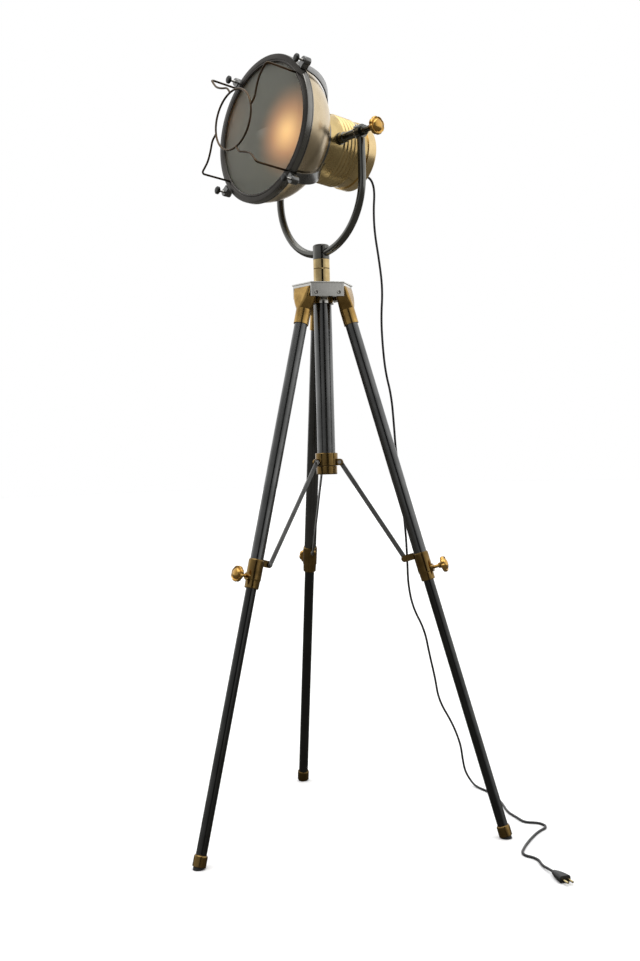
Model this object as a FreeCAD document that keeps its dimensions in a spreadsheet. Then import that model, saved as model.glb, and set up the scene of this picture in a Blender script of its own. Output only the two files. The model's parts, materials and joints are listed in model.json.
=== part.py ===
"""Tripod spotlight floor lamp: a guarded lamp head in a U yoke on a folding, telescoping tripod.

Millimetres, +Z up. The origin is on the floor, at the centre of the standing lamp's outline. The
front leg points along -Y, the other two at 30 and 150 degrees, and the lamp head looks along -Y.
"""
import FreeCAD, Part

import math
import os

import Sketcher

Vector = FreeCAD.Vector
os.makedirs("parts", exist_ok=True)

# ---------------------------------------------------------------- driving dimensions
DIMENSIONS = [
    # tripod
    ("leg_lean", 15.73, "angle between a leg and the column, degrees"),
    ("pivot_height", 1134.0, "leg pivot above the floor"),
    ("pivot_reach", 42.5, "leg pivot from the column axis"),
    ("pivot_pin_dia", 8.0, "leg pivot pin"),
    ("upper_tube_dia", 27.0, "upper leg tube"),
    ("lower_tube_dia", 21.5, "lower leg tube"),
    ("tube_wall", 1.5, "wall of the leg tubes and the column"),
    ("socket_end", 74.0, "bottom of the leg bracket, below its pivot along the leg"),
    ("socket_depth", 34.0, "tube inside the leg bracket"),
    ("socket_wall", 2.2, "wall of the leg bracket round the tube"),
    ("bracket_width", 51.0, "leg bracket at the hub, along the pivot pin"),
    ("clamp_top", 573.5, "top of the leg clamp, below the pivot along the leg"),
    ("clamp_length", 59.0, "leg clamp along the leg"),
    ("clamp_wall", 2.3, "wall of the clamp round the upper tube"),
    ("clamp_lip", 12.0, "length of the clamp's lower lip, which guides the lower tube"),
    ("tube_overlap", 95.0, "lower tube inside the upper one, above the clamp's top"),
    ("ear_along", 577.0, "brace ear below the leg pivot, along the leg"),
    ("ear_inset", 35.3, "brace ear in from the leg's axis"),
    ("ear_radius", 7.0, "rounded end of the brace ears"),
    ("ear_thick", 4.0, "thickness of the brace ears"),
    ("knob_along", 610.0, "clamp knob below the leg pivot, along the leg"),
    ("leg_knob_dia", 34.0, "clamp knob over its lobes"),
    ("leg_knob_stem", 17.0, "clamp knob's stem"),
    ("foot_cap_dia", 27.0, "foot cap"),
    ("foot_cap_height", 22.0, "foot cap"),
    ("foot_lift", 4.3, "foot cap's centre above the floor"),
    ("foot_pad_dia", 22.0, "rubber foot"),
    # braces and their collar
    ("brace_length", 245.5, "brace between its pivots"),
    ("brace_width", 9.5, "brace bar"),
    ("brace_thick", 3.0, "brace bar"),
    ("brace_end_dia", 11.2, "brace's rounded ends"),
    ("rivet_dia", 5.0, "brace rivets"),
    ("collar_ear_reach", 30.0, "collar ear's pivot from the column axis"),
    ("collar_ear_rise", 7.5, "collar ear's pivot above the collar's bottom"),
    ("collar_height", 27.0, "sliding collar"),
    ("collar_dia", 47.6, "sliding collar"),
    ("stop_height", 18.0, "stop ring that ends the column"),
    ("stop_dia", 44.0, "stop ring"),
    # column and hub
    ("column_dia", 38.0, "centre column"),
    ("plate_top", 1149.0, "top of the hub plate above the floor"),
    ("plate_thick", 3.0, "hub plate"),
    ("plate_flat", 55.0, "hub plate's long sides from the axis"),
    ("plate_end", 58.5, "hub plate's leg sides from the axis"),
    ("casting_inset", 1.8, "hub casting inside the plate's edge"),
    ("casting_height", 27.0, "hub casting"),
    ("web_thick", 5.0, "web of the hub casting under the plate"),
    ("channel_width", 53.0, "channel that a leg bracket sits in"),
    ("boss_dia", 48.0, "hub casting's boss round the column"),
    ("boss_drop", 10.0, "boss below the casting's blocks"),
    ("screw_dia", 4.0, "hub screws' shank"),
    ("screw_head_dia", 8.5, "hub screws' head"),
    ("screw_spread", 24.0, "hub screw from its block's middle"),
    ("screw_drop", 18.8, "hub screws below the plate"),
    ("screw_depth", 8.0, "hub screws' shank"),
    ("pin_seat", 7.0, "leg pivot pin in the block on each side of its channel"),
    # post and yoke
    ("post_dia", 35.0, "post under the yoke"),
    ("socket_height", 34.0, "fixed brass socket on the hub plate"),
    ("sleeve_height", 20.0, "turning brass sleeve"),
    ("post_height", 31.5, "dark head of the post"),
    ("spindle_dia", 16.0, "swivel spindle inside the post"),
    ("yoke_half", 135.7, "yoke leg from the middle"),
    ("yoke_tube_dia", 16.0, "yoke tube"),
    ("yoke_bend_height", 1351.6, "centre of the yoke's bend above the floor"),
    ("tilt_height", 1442.0, "tilt axis above the floor"),
    ("eye_dia", 27.0, "yoke eye round the tilt axis"),
    ("eye_thick", 12.0, "yoke eye along the tilt axis"),
    ("tilt_bolt_dia", 10.0, "tilt spindle and bolt"),
    ("washer_dia", 28.0, "toothed washer"),
    ("washer_thick", 3.0, "toothed washer"),
    ("tilt_knob_dia", 38.0, "tilt knob over its lobes"),
    ("tilt_knob_stem", 12.0, "tilt knob's stem"),
    ("knob_screw_dia", 7.0, "screws of the knobs"),
    ("spindle_out", 22.0, "tilt spindle beyond the yoke's eye"),
    # head
    ("head_turn", -2.71, "head from the front leg, degrees"),
    ("head_tilt", 5.19, "head above level, degrees"),
    ("face_ahead", 149.4, "bezel's face ahead of the tilt axis"),
    ("bezel_dia", 300.0, "bezel"),
    ("bezel_face", 17.0, "width of the bezel's face"),
    ("bezel_depth", 15.4, "bezel along the head's axis"),
    ("bezel_wall", 4.0, "bezel's skirt"),
    ("bezel_lip", 4.5, "bezel's face, front to back"),
    ("glass_thick", 4.0, "front glass"),
    ("shell_wall", 1.5, "dome and can"),
    ("dome_bulge", 112.0, "radius of the dome's profile"),
    ("neck_ahead", 36.0, "dome's neck ahead of the tilt axis"),
    ("can_dia", 140.0, "rear can"),
    ("can_back", 86.0, "rear can's end behind the tilt axis"),
    ("rib_height", 2.6, "ribs of the can"),
    ("rib_pitch", 9.6, "ribs of the can"),
    ("first_rib", 7.0, "first rib behind the tilt axis"),
    ("cap_height", 16.0, "end cap"),
    ("cap_over", 2.2, "end cap's rim over the can"),
    ("trunnion_dia", 18.0, "trunnion between the can and the yoke"),
    ("trunnion_foot_dia", 25.0, "trunnion's foot in the can"),
    ("guard_turn", 39.5, "first guard arm above the tilt axis, degrees"),
    ("guard_ahead", 71.0, "guard ring ahead of the bezel's face"),
    ("guard_ring_dia", 120.8, "guard ring"),
    ("guard_corner", 136.0, "guard arm's corner from the head's axis"),
    ("guard_wire", 4.2, "guard wire"),
    ("guard_bend", 7.0, "bend at a guard arm's corner"),
    ("strap_width", 19.0, "straps over the dome"),
    ("strap_thick", 3.0, "straps over the dome"),
    ("strap_gap", 4.5, "strap above the dome"),
    ("band_thick", 4.0, "band round the neck that joins the straps"),
    ("band_width", 9.0, "band round the neck"),
    ("lug_reach", 164.0, "thumbscrews from the head's axis"),
    ("lug_dia", 17.0, "strap's lug round a thumbscrew"),
    ("thumb_shank_dia", 5.0, "thumbscrew shank"),
    ("thumb_head_dia", 17.0, "thumbscrew head"),
    ("thumb_head_thick", 8.0, "thumbscrew head"),
    ("thumb_shank_bare", 10.0, "thumbscrew shank between lug and head"),
    ("holder_dia", 44.0, "lamp holder"),
    ("bulb_dia", 60.0, "bulb"),
    ("bulb_ahead", 72.0, "bulb's centre ahead of the tilt axis"),
    ("gland_drop", 30.0, "cord gland below the head's axis"),
    ("gland_length", 25.0, "cord gland"),
    # cord
    ("cord_dia", 5.0, "cord"),
    ("plug_length", 40.0, "plug body"),
    # clearances
    ("run_gap", 0.08, "radial gap of a running fit"),
    ("seat_gap", 0.03, "radial gap of a tight fit"),
    ("side_gap", 0.4, "gap between the faces of moving pieces"),
    ("rest_gap", 0.3, "gap under a moving piece that rests on another"),
]

doc = FreeCAD.newDocument("SpotlightLamp")
sheet = doc.addObject("Spreadsheet::Sheet", "Dims")


class Size:
    """A length or an angle, with the sheet expression that it is worked out by."""

    def __init__(self, value, text):
        self.value = value
        self.text = text

    def __add__(self, other):
        other = sized(other)
        return Size(self.value + other.value, "(%s + %s)" % (self.text, other.text))

    def __sub__(self, other):
        other = sized(other)
        return Size(self.value - other.value, "(%s - %s)" % (self.text, other.text))

    def __mul__(self, other):
        other = sized(other)
        return Size(self.value * other.value, "%s * %s" % (self.text, other.text))

    def __truediv__(self, other):
        other = sized(other)
        return Size(self.value / other.value, "%s / (%s)" % (self.text, other.text))

    def __neg__(self):
        return Size(-self.value, "(0 - %s)" % self.text)

    __radd__ = __add__
    __rmul__ = __mul__

    def __rsub__(self, other):
        return sized(other) - self


def sized(number):
    return number if isinstance(number, Size) else Size(float(number), repr(float(number)))


def cosine(angle):
    return Size(math.cos(math.radians(angle.value)), "cos(%s * 1deg)" % angle.text)


def sine(angle):
    return Size(math.sin(math.radians(angle.value)), "sin(%s * 1deg)" % angle.text)


def root(square):
    return Size(math.sqrt(square.value), "sqrt(%s)" % square.text)


def arc_tangent(rise, run):
    angle = math.degrees(math.atan2(rise.value, run.value))
    return Size(angle, "(atan2(%s; %s) / 1deg)" % (rise.text, run.text))


class Dimensions:
    pass


dim = Dimensions()
for row, (word, value, meaning) in enumerate(DIMENSIONS, start=1):
    sheet.set("A%d" % row, word)
    sheet.set("B%d" % row, str(value))
    sheet.setAlias("B%d" % row, word)
    sheet.set("C%d" % row, meaning)
    setattr(dim, word, Size(value, "Dims." + word))
doc.recompute()


# ---------------------------------------------------------------- worked-out sizes
lean_cos = cosine(dim.leg_lean)
lean_sin = sine(dim.leg_lean)
FLAT = 0.5
SIDE = math.sqrt(3.0) / 2.0

leg_length = dim.pivot_height / lean_cos
foot_reach = dim.pivot_reach + dim.pivot_height * lean_sin / lean_cos
cap_radius = dim.foot_cap_dia * 0.5
cap_reach = foot_reach - dim.foot_lift * lean_sin / lean_cos
back_foot = root(1.0 - lean_sin * lean_sin * 0.25)
axis_y = cap_reach * 0.25 + cap_radius * 0.5 * (lean_cos - back_foot)

ear_reach = dim.pivot_reach + dim.ear_along * lean_sin - dim.ear_inset * lean_cos
ear_height = dim.pivot_height - dim.ear_along * lean_cos - dim.ear_inset * lean_sin
brace_run = ear_reach - dim.collar_ear_reach
brace_rise = root(dim.brace_length * dim.brace_length - brace_run * brace_run)
brace_angle = arc_tangent(brace_run, brace_rise)
collar_ear_height = ear_height + brace_rise
collar_bottom = collar_ear_height - dim.collar_ear_rise
stop_top = collar_bottom - dim.rest_gap
stop_bottom = stop_top - dim.stop_height

column_radius = dim.column_dia * 0.5
casting_top = dim.plate_top - dim.plate_thick
casting_bottom = casting_top - dim.casting_height
post_radius = dim.post_dia * 0.5
socket_top = dim.plate_top + dim.socket_height
sleeve_bottom = socket_top + dim.rest_gap
sleeve_top = sleeve_bottom + dim.sleeve_height
post_top = sleeve_top + dim.post_height
spindle_radius = dim.spindle_dia * 0.5
bolt_radius = dim.tilt_bolt_dia * 0.5

upper_radius = dim.upper_tube_dia * 0.5
lower_radius = dim.lower_tube_dia * 0.5
bezel_radius = dim.bezel_dia * 0.5
bezel_back = dim.face_ahead - dim.bezel_depth
can_radius = dim.can_dia * 0.5
neck_radius = can_radius + dim.shell_wall + dim.seat_gap
dome_rim = bezel_radius - dim.bezel_wall - dim.seat_gap

glass_front = dim.face_ahead - dim.bezel_lip - dim.seat_gap

LEGS = [("front", -90), ("right", 30), ("left", 150)]


# ---------------------------------------------------------------- helpers
def text(value):
    return value.text if isinstance(value, Size) else str(value)


def at(x=0, y=0, z=0, yaw=0, pitch=0, roll=0):
    """A placement expression: a move, then turns about Z, Y and X."""
    place = "vector(%s; %s; %s)" % (text(x), text(y), text(z))
    turn = "rotation(%s; %s; %s)" % (text(yaw), text(pitch), text(roll))
    return "placement(%s; %s)" % (place, turn)


def place(piece, *steps):
    if steps:
        piece.setExpression("Placement", " * ".join(steps))
    return piece


def leg_frame(azimuth):
    """At a leg's pivot: Z up along the leg, X outwards and Y along the pivot pin."""
    turn = math.radians(azimuth)
    x = dim.pivot_reach * math.cos(turn)
    y = axis_y + dim.pivot_reach * math.sin(turn)
    return at(x, y, dim.pivot_height, azimuth, -dim.leg_lean, 0)


axis_frame = at(0, axis_y, 0)
yoke_frame = at(0, axis_y, 0, dim.head_turn)
head_frame = at(0, axis_y, dim.tilt_height, dim.head_turn, 0, -dim.head_tilt)
guard_frame = at(0, 0, 0, 0, -dim.guard_turn, 0)

NODES = []


def node(piece, label, *steps):
    """Names a finished sub-part and puts it in its place."""
    piece.Label = label
    place(piece, *steps)
    NODES.append(piece)
    return piece


def inner_name(label):
    return "".join(word.capitalize() for word in label.split("_"))


def new_body(label):
    return doc.addObject("PartDesign::Body", inner_name(label))


def plane_of(body, role):
    return [item for item in body.Origin.OriginFeatures if item.Role == role][0]


def arc_between(start, end, radius, side):
    """The short arc from start to end, and whether it runs anticlockwise."""
    chord = end - start
    middle = (start + end) * 0.5
    height = math.sqrt(radius ** 2 - (chord.Length / 2.0) ** 2)
    left = Vector(-chord.y, chord.x, 0).normalize()
    centre = middle + left * height * side
    anticlockwise = side > 0
    first, last = (start, end) if anticlockwise else (end, start)
    first_angle = math.atan2(first.y - centre.y, first.x - centre.x)
    last_angle = math.atan2(last.y - centre.y, last.x - centre.x)
    circle = Part.Circle(centre, Vector(0, 0, 1), radius)
    return Part.ArcOfCircle(circle, first_angle, last_angle), anticlockwise


def outline(body, role, corners, arcs=None, lift=None, sketch_name="Outline"):
    """A closed sketch with each corner bound to a pair of sizes.

    arcs gives, for the corner that an arc leaves, its radius and the side its centre is on: 1 left.
    """
    arcs = arcs or {}
    sketch = body.newObject("Sketcher::SketchObject", body.Name + sketch_name)
    sketch.AttachmentSupport = [(plane_of(body, role), "")]
    sketch.MapMode = "FlatFace"
    if lift is not None:
        sketch.setExpression("AttachmentOffset.Base.z", lift.text)
    corners = [(sized(x), sized(y)) for x, y in corners]
    spots = [Vector(x.value, y.value, 0) for x, y in corners]
    ends = []
    for index, spot in enumerate(spots):
        beyond = spots[(index + 1) % len(spots)]
        if index in arcs:
            radius, side = arcs[index]
            radius = sized(radius)
            arc, forward = arc_between(spot, beyond, radius.value, side)
            edge = sketch.addGeometry(arc)
            ends.append((edge, 1, 2) if forward else (edge, 2, 1))
            fixed = sketch.addConstraint(Sketcher.Constraint("Radius", edge, radius.value))
            sketch.setExpression("Constraints[%d]" % fixed, radius.text)
        else:
            edge = sketch.addGeometry(Part.LineSegment(spot, beyond))
            ends.append((edge, 1, 2))
    for index, (edge, start, end) in enumerate(ends):
        next_edge, next_start, _ = ends[(index + 1) % len(ends)]
        sketch.addConstraint(Sketcher.Constraint("Coincident", edge, end, next_edge, next_start))
        for kind, amount in zip(("DistanceX", "DistanceY"), corners[index]):
            fixed = sketch.addConstraint(Sketcher.Constraint(kind, -1, 1, edge, start, amount.value))
            if "Dims" in amount.text:
                sketch.setExpression("Constraints[%d]" % fixed, amount.text)
    return sketch


def disc(body, role, radius, x=0, y=0, lift=None, sketch_name="Disc"):
    """A sketch of one circle."""
    radius, x, y = sized(radius), sized(x), sized(y)
    sketch = body.newObject("Sketcher::SketchObject", body.Name + sketch_name)
    sketch.AttachmentSupport = [(plane_of(body, role), "")]
    sketch.MapMode = "FlatFace"
    if lift is not None:
        sketch.setExpression("AttachmentOffset.Base.z", lift.text)
    centre = Vector(x.value, y.value, 0)
    edge = sketch.addGeometry(Part.Circle(centre, Vector(0, 0, 1), radius.value))
    for kind, amount in (("Radius", radius), ("DistanceX", x), ("DistanceY", y)):
        if kind == "Radius":
            rule = Sketcher.Constraint(kind, edge, amount.value)
        else:
            rule = Sketcher.Constraint(kind, -1, 1, edge, 3, amount.value)
        fixed = sketch.addConstraint(rule)
        if "Dims" in amount.text:
            sketch.setExpression("Constraints[%d]" % fixed, amount.text)
    return sketch


def revolve(body, sketch, axis="V_Axis", kind="Revolution", name="Turn"):
    turn = body.newObject("PartDesign::" + kind, body.Name + name)
    turn.Profile = sketch
    turn.ReferenceAxis = (sketch, [axis])
    turn.Angle = 360
    return turn


def turned(label, corners, arcs=None, role="XZ_Plane"):
    """A body turned about its own vertical axis from half of its section."""
    body = new_body(label)
    revolve(body, outline(body, role, corners, arcs))
    return body


def pad(body, sketch, length, midplane=False, back=False, name="Pad"):
    feature = body.newObject("PartDesign::Pad", body.Name + name)
    feature.Profile = sketch
    feature.setExpression("Length", sized(length).text)
    feature.Midplane = midplane
    feature.Reversed = back
    return feature


def pocket(body, sketch, length, midplane=False, back=False, name="Pocket"):
    feature = body.newObject("PartDesign::Pocket", body.Name + name)
    feature.Profile = sketch
    feature.setExpression("Length", sized(length).text)
    feature.Midplane = midplane
    feature.Reversed = back
    return feature


def pattern(body, features, count, axis="Z_Axis", name="Pattern"):
    """Copies features round one of the body's own axes."""
    ring = body.newObject("PartDesign::PolarPattern", body.Name + name)
    ring.Originals = features
    ring.Axis = (plane_of(body, axis), [""])
    ring.Angle = 360
    ring.Occurrences = count
    body.Tip = ring
    return ring


def rod(name, radius, length, *steps):
    """A round bar along its own Z, from its origin, as a tool or as part of a group."""
    bar = doc.addObject("Part::Cylinder", name)
    bar.setExpression("Radius", sized(radius).text)
    bar.setExpression("Height", sized(length).text)
    return place(bar, *steps)


def block(name, length, width, height, *steps):
    """A box with its origin at a corner."""
    box = doc.addObject("Part::Box", name)
    box.setExpression("Length", sized(length).text)
    box.setExpression("Width", sized(width).text)
    box.setExpression("Height", sized(height).text)
    return place(box, *steps)


def cut(name, base, tool):
    result = doc.addObject("Part::Cut", name)
    result.Base = base
    result.Tool = tool
    return result


def fuse(name, pieces):
    result = doc.addObject("Part::MultiFuse", name)
    result.Shapes = pieces
    return result


def group(name, pieces):
    result = doc.addObject("Part::Compound", name)
    result.Links = pieces
    return result


def section(name, low_x, high_x, half_width, corner, lift):
    """A rounded rectangle across a leg, for a loft: always four sides and four corner arcs."""
    sketch = doc.addObject("Sketcher::SketchObject", name)
    sketch.setExpression("Placement", at(0, 0, lift))
    low_x, high_x, half_width, corner = (sized(v) for v in (low_x, high_x, half_width, corner))
    corners = [
        (low_x + corner, -half_width), (high_x - corner, -half_width),
        (high_x, corner - half_width), (high_x, half_width - corner),
        (high_x - corner, half_width), (low_x + corner, half_width),
        (low_x, half_width - corner), (low_x, corner - half_width),
    ]
    spots = [Vector(x.value, y.value, 0) for x, y in corners]
    ends = []
    for index, spot in enumerate(spots):
        beyond = spots[(index + 1) % len(spots)]
        if index % 2:
            arc, _ = arc_between(spot, beyond, corner.value * 1.0000001, 1)
            edge = sketch.addGeometry(arc)
            fixed = sketch.addConstraint(Sketcher.Constraint("Radius", edge, corner.value))
            sketch.setExpression("Constraints[%d]" % fixed, corner.text + " * 1.0000001")
        else:
            edge = sketch.addGeometry(Part.LineSegment(spot, beyond))
        ends.append(edge)
    for index, edge in enumerate(ends):
        following = ends[(index + 1) % len(ends)]
        sketch.addConstraint(Sketcher.Constraint("Coincident", edge, 2, following, 1))
        for kind, amount in zip(("DistanceX", "DistanceY"), corners[index]):
            fixed = sketch.addConstraint(Sketcher.Constraint(kind, -1, 1, edge, 1, amount.value))
            sketch.setExpression("Constraints[%d]" % fixed, amount.text)
    return sketch


# ---------------------------------------------------------------- round knobs
def lobed_knob(label, diameter, stem_length, stem_dia, screw_dia, screw_length):
    """A cast knob on its screw: a coned stem, an eight-lobed rim and a domed middle, along +Z."""
    body = new_body(label)
    edge = diameter * 0.5
    rim = diameter * 0.26
    dome = diameter * 0.30
    dome_height = diameter * 0.15
    round_edge = diameter * 0.06
    stem = stem_dia * 0.5
    screw = screw_dia * 0.5
    top = stem_length + rim
    corners = [
        (0, -screw_length), (screw, -screw_length), (screw, 0), (stem * 0.8, 0),
        (stem, stem_length * 0.45), (stem * 1.25, stem_length), (edge - round_edge, stem_length),
        (edge, stem_length + round_edge), (edge, top - round_edge), (edge - round_edge, top),
        (dome + round_edge, top), (dome, top), (0, top + dome_height),
    ]
    arcs = {
        6: (round_edge * 1.02, 1), 8: (round_edge * 1.02, 1),
        11: ((dome * dome + dome_height * dome_height) / (dome_height * 2.0), 1),
    }
    revolve(body, outline(body, "XZ_Plane", corners, arcs))
    scallop = disc(body, "XY_Plane", edge * 0.27, edge * 1.12, 0, sketch_name="Scallop",
                   lift=stem_length - 1.0)
    hollow = pocket(body, scallop, rim + 2.0, back=True)
    pattern(body, [hollow], 8)
    return body


# ---------------------------------------------------------------- hub
def plate_corners(inset):
    """The hub's hexagon, with a leg's side across its X axis."""
    flat = dim.plate_flat - inset
    end = dim.plate_end - inset
    half_end = (flat - end * FLAT) / SIDE
    corners = []
    for count in range(3):
        turn = math.radians(120.0 * count)
        for hand in (-1, 1):
            x = end * math.cos(turn) - half_end * (hand * math.sin(turn))
            y = end * math.sin(turn) + half_end * (hand * math.cos(turn))
            corners.append((x, y))
    return corners


def build_hub():
    plate = new_body("hub_plate")
    pad(plate, outline(plate, "XY_Plane", plate_corners(0)), dim.plate_thick)
    hole = disc(plate, "XY_Plane", spindle_radius + dim.rest_gap, sketch_name="Bore")
    pocket(plate, hole, dim.plate_thick, back=True)
    node(plate, "hub_plate", at(0, axis_y, casting_top, -90))

    casting = new_body("hub_casting")
    pad(casting, outline(casting, "XY_Plane", plate_corners(dim.casting_inset)), dim.casting_height)
    half = dim.channel_width * 0.5
    channel = outline(casting, "XY_Plane", [(0, -half), (dim.plate_end, -half),
                                            (dim.plate_end, half), (0, half)], sketch_name="Channel")
    hollow = pocket(casting, channel, dim.casting_height - dim.web_thick, back=True)
    pattern(casting, [hollow], 3)
    boss = disc(casting, "XY_Plane", dim.boss_dia * 0.5, lift=-dim.boss_drop, sketch_name="Boss")
    pad(casting, boss, dim.boss_drop + dim.casting_height - dim.web_thick, name="BossPad")
    bore = disc(casting, "XY_Plane", column_radius + dim.seat_gap, lift=-dim.boss_drop - 1.0,
                sketch_name="Bore")
    pocket(casting, bore, dim.boss_drop + dim.casting_height - dim.web_thick + 1.0, back=True,
           name="ColumnBore")
    through = disc(casting, "XY_Plane", spindle_radius + dim.rest_gap, sketch_name="Through")
    pocket(casting, through, dim.casting_height, back=True, name="SpindleBore")
    place(casting, at(0, 0, casting_bottom, -90))

    holes = []
    pins = []
    screws = []
    for name, azimuth in LEGS:
        turn = math.radians(azimuth)
        middle = at(dim.pivot_reach * math.cos(turn), dim.pivot_reach * math.sin(turn),
                    dim.pivot_height, azimuth)
        reach = dim.channel_width * 0.5 + dim.pin_seat
        along = at(0, -reach, 0, 0, 0, -90)
        radius = dim.pivot_pin_dia * 0.5
        pins.append(rod("PivotPin" + name, radius, reach * 2.0, middle, along))
        holes.append(rod("PinHole" + name, radius + dim.seat_gap, reach * 2.0, middle, along))
        for hand in (-1, 1):
            facing = at(0, 0, 0, azimuth + 60)
            offset = dim.screw_spread * hand
            depth = dim.screw_depth
            mouth = dim.plate_flat - dim.casting_inset
            spot = at(mouth, offset, casting_top - dim.screw_drop, 0, 90, 0)
            side = "a" if hand < 0 else "b"
            shank = rod("Shank" + name + side, dim.screw_dia * 0.5, depth, facing, spot,
                        at(0, 0, -depth))
            head = doc.addObject("Part::Cone", "ScrewHead" + name + side)
            head.setExpression("Radius1", (dim.screw_head_dia * 0.5).text)
            head.setExpression("Radius2", (dim.screw_head_dia * 0.3).text)
            head.setExpression("Height", (dim.screw_head_dia * 0.3).text)
            place(head, facing, spot)
            screws.append(fuse("HubScrew" + name + side, [shank, head]))
            holes.append(rod("ScrewHole" + name + side, dim.screw_dia * 0.5 + dim.seat_gap,
                             depth + dim.rest_gap, facing, spot, at(0, 0, -depth - dim.rest_gap)))
    node(cut("HubCastingDrilled", casting, group("HubHoles", holes)), "hub_casting", axis_frame)
    node(group("LegPivotPins", pins), "leg_pivot_pins", axis_frame)
    node(group("HubScrews", screws), "hub_screws", axis_frame)

    column_top = casting_top - dim.web_thick
    inner = column_radius - dim.tube_wall
    column = turned("centre_column", [(inner, stop_bottom + 4.0), (column_radius, stop_bottom + 4.0),
                                      (column_radius, column_top), (inner, column_top)])
    node(column, "centre_column", axis_frame)

    stop_radius = dim.stop_dia * 0.5
    bore_radius = column_radius + dim.seat_gap
    stop = turned("column_stop", [(0, stop_bottom), (stop_radius - 1.0, stop_bottom),
                                  (stop_radius, stop_bottom + 1.0), (stop_radius, stop_top - 1.0),
                                  (stop_radius - 1.0, stop_top), (bore_radius, stop_top),
                                  (bore_radius, stop_bottom + 4.0), (0, stop_bottom + 4.0)])
    node(stop, "column_stop", axis_frame)


def build_post():
    bore = spindle_radius + dim.run_gap
    step = 0.8
    socket = turned("post_socket", [
        (bore, dim.plate_top), (post_radius, dim.plate_top),
        (post_radius, socket_top - step), (post_radius - step, socket_top), (bore, socket_top)])
    node(socket, "post_socket", axis_frame)
    tight = spindle_radius + dim.seat_gap
    sleeve = turned("swivel_sleeve", [
        (tight, sleeve_bottom), (post_radius - step, sleeve_bottom),
        (post_radius, sleeve_bottom + step), (post_radius, sleeve_top), (tight, sleeve_top)])
    node(sleeve, "swivel_sleeve", yoke_frame)
    edge = dim.post_dia * 0.12
    spindle_end = casting_top - dim.web_thick + 1.0
    post = turned("swivel_post", [
        (0, spindle_end), (spindle_radius, spindle_end), (spindle_radius, sleeve_top),
        (post_radius, sleeve_top), (post_radius, post_top - edge),
        (post_radius - edge, post_top), (0, post_top)], {4: (edge, 1)})
    across = rod("YokePassage", dim.yoke_tube_dia * 0.5 + dim.seat_gap, dim.post_dia * 2.0,
                 at(-dim.post_dia, 0, dim.yoke_bend_height - dim.yoke_half, 0, 90, 0))
    node(cut("SwivelPostBored", post, bend_tool(across)), "swivel_post", yoke_frame)


def bend_tool(straight):
    """The passage in the post follows the yoke's bend, so it is a slice of a ring."""
    doc.removeObject(straight.Name)
    ring = doc.addObject("Part::Torus", "YokePassageRing")
    ring.setExpression("Radius1", dim.yoke_half.text)
    ring.setExpression("Radius2", (dim.yoke_tube_dia * 0.5 + dim.seat_gap).text)
    place(ring, at(0, 0, dim.yoke_bend_height, 0, 0, 90))
    return ring


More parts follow.
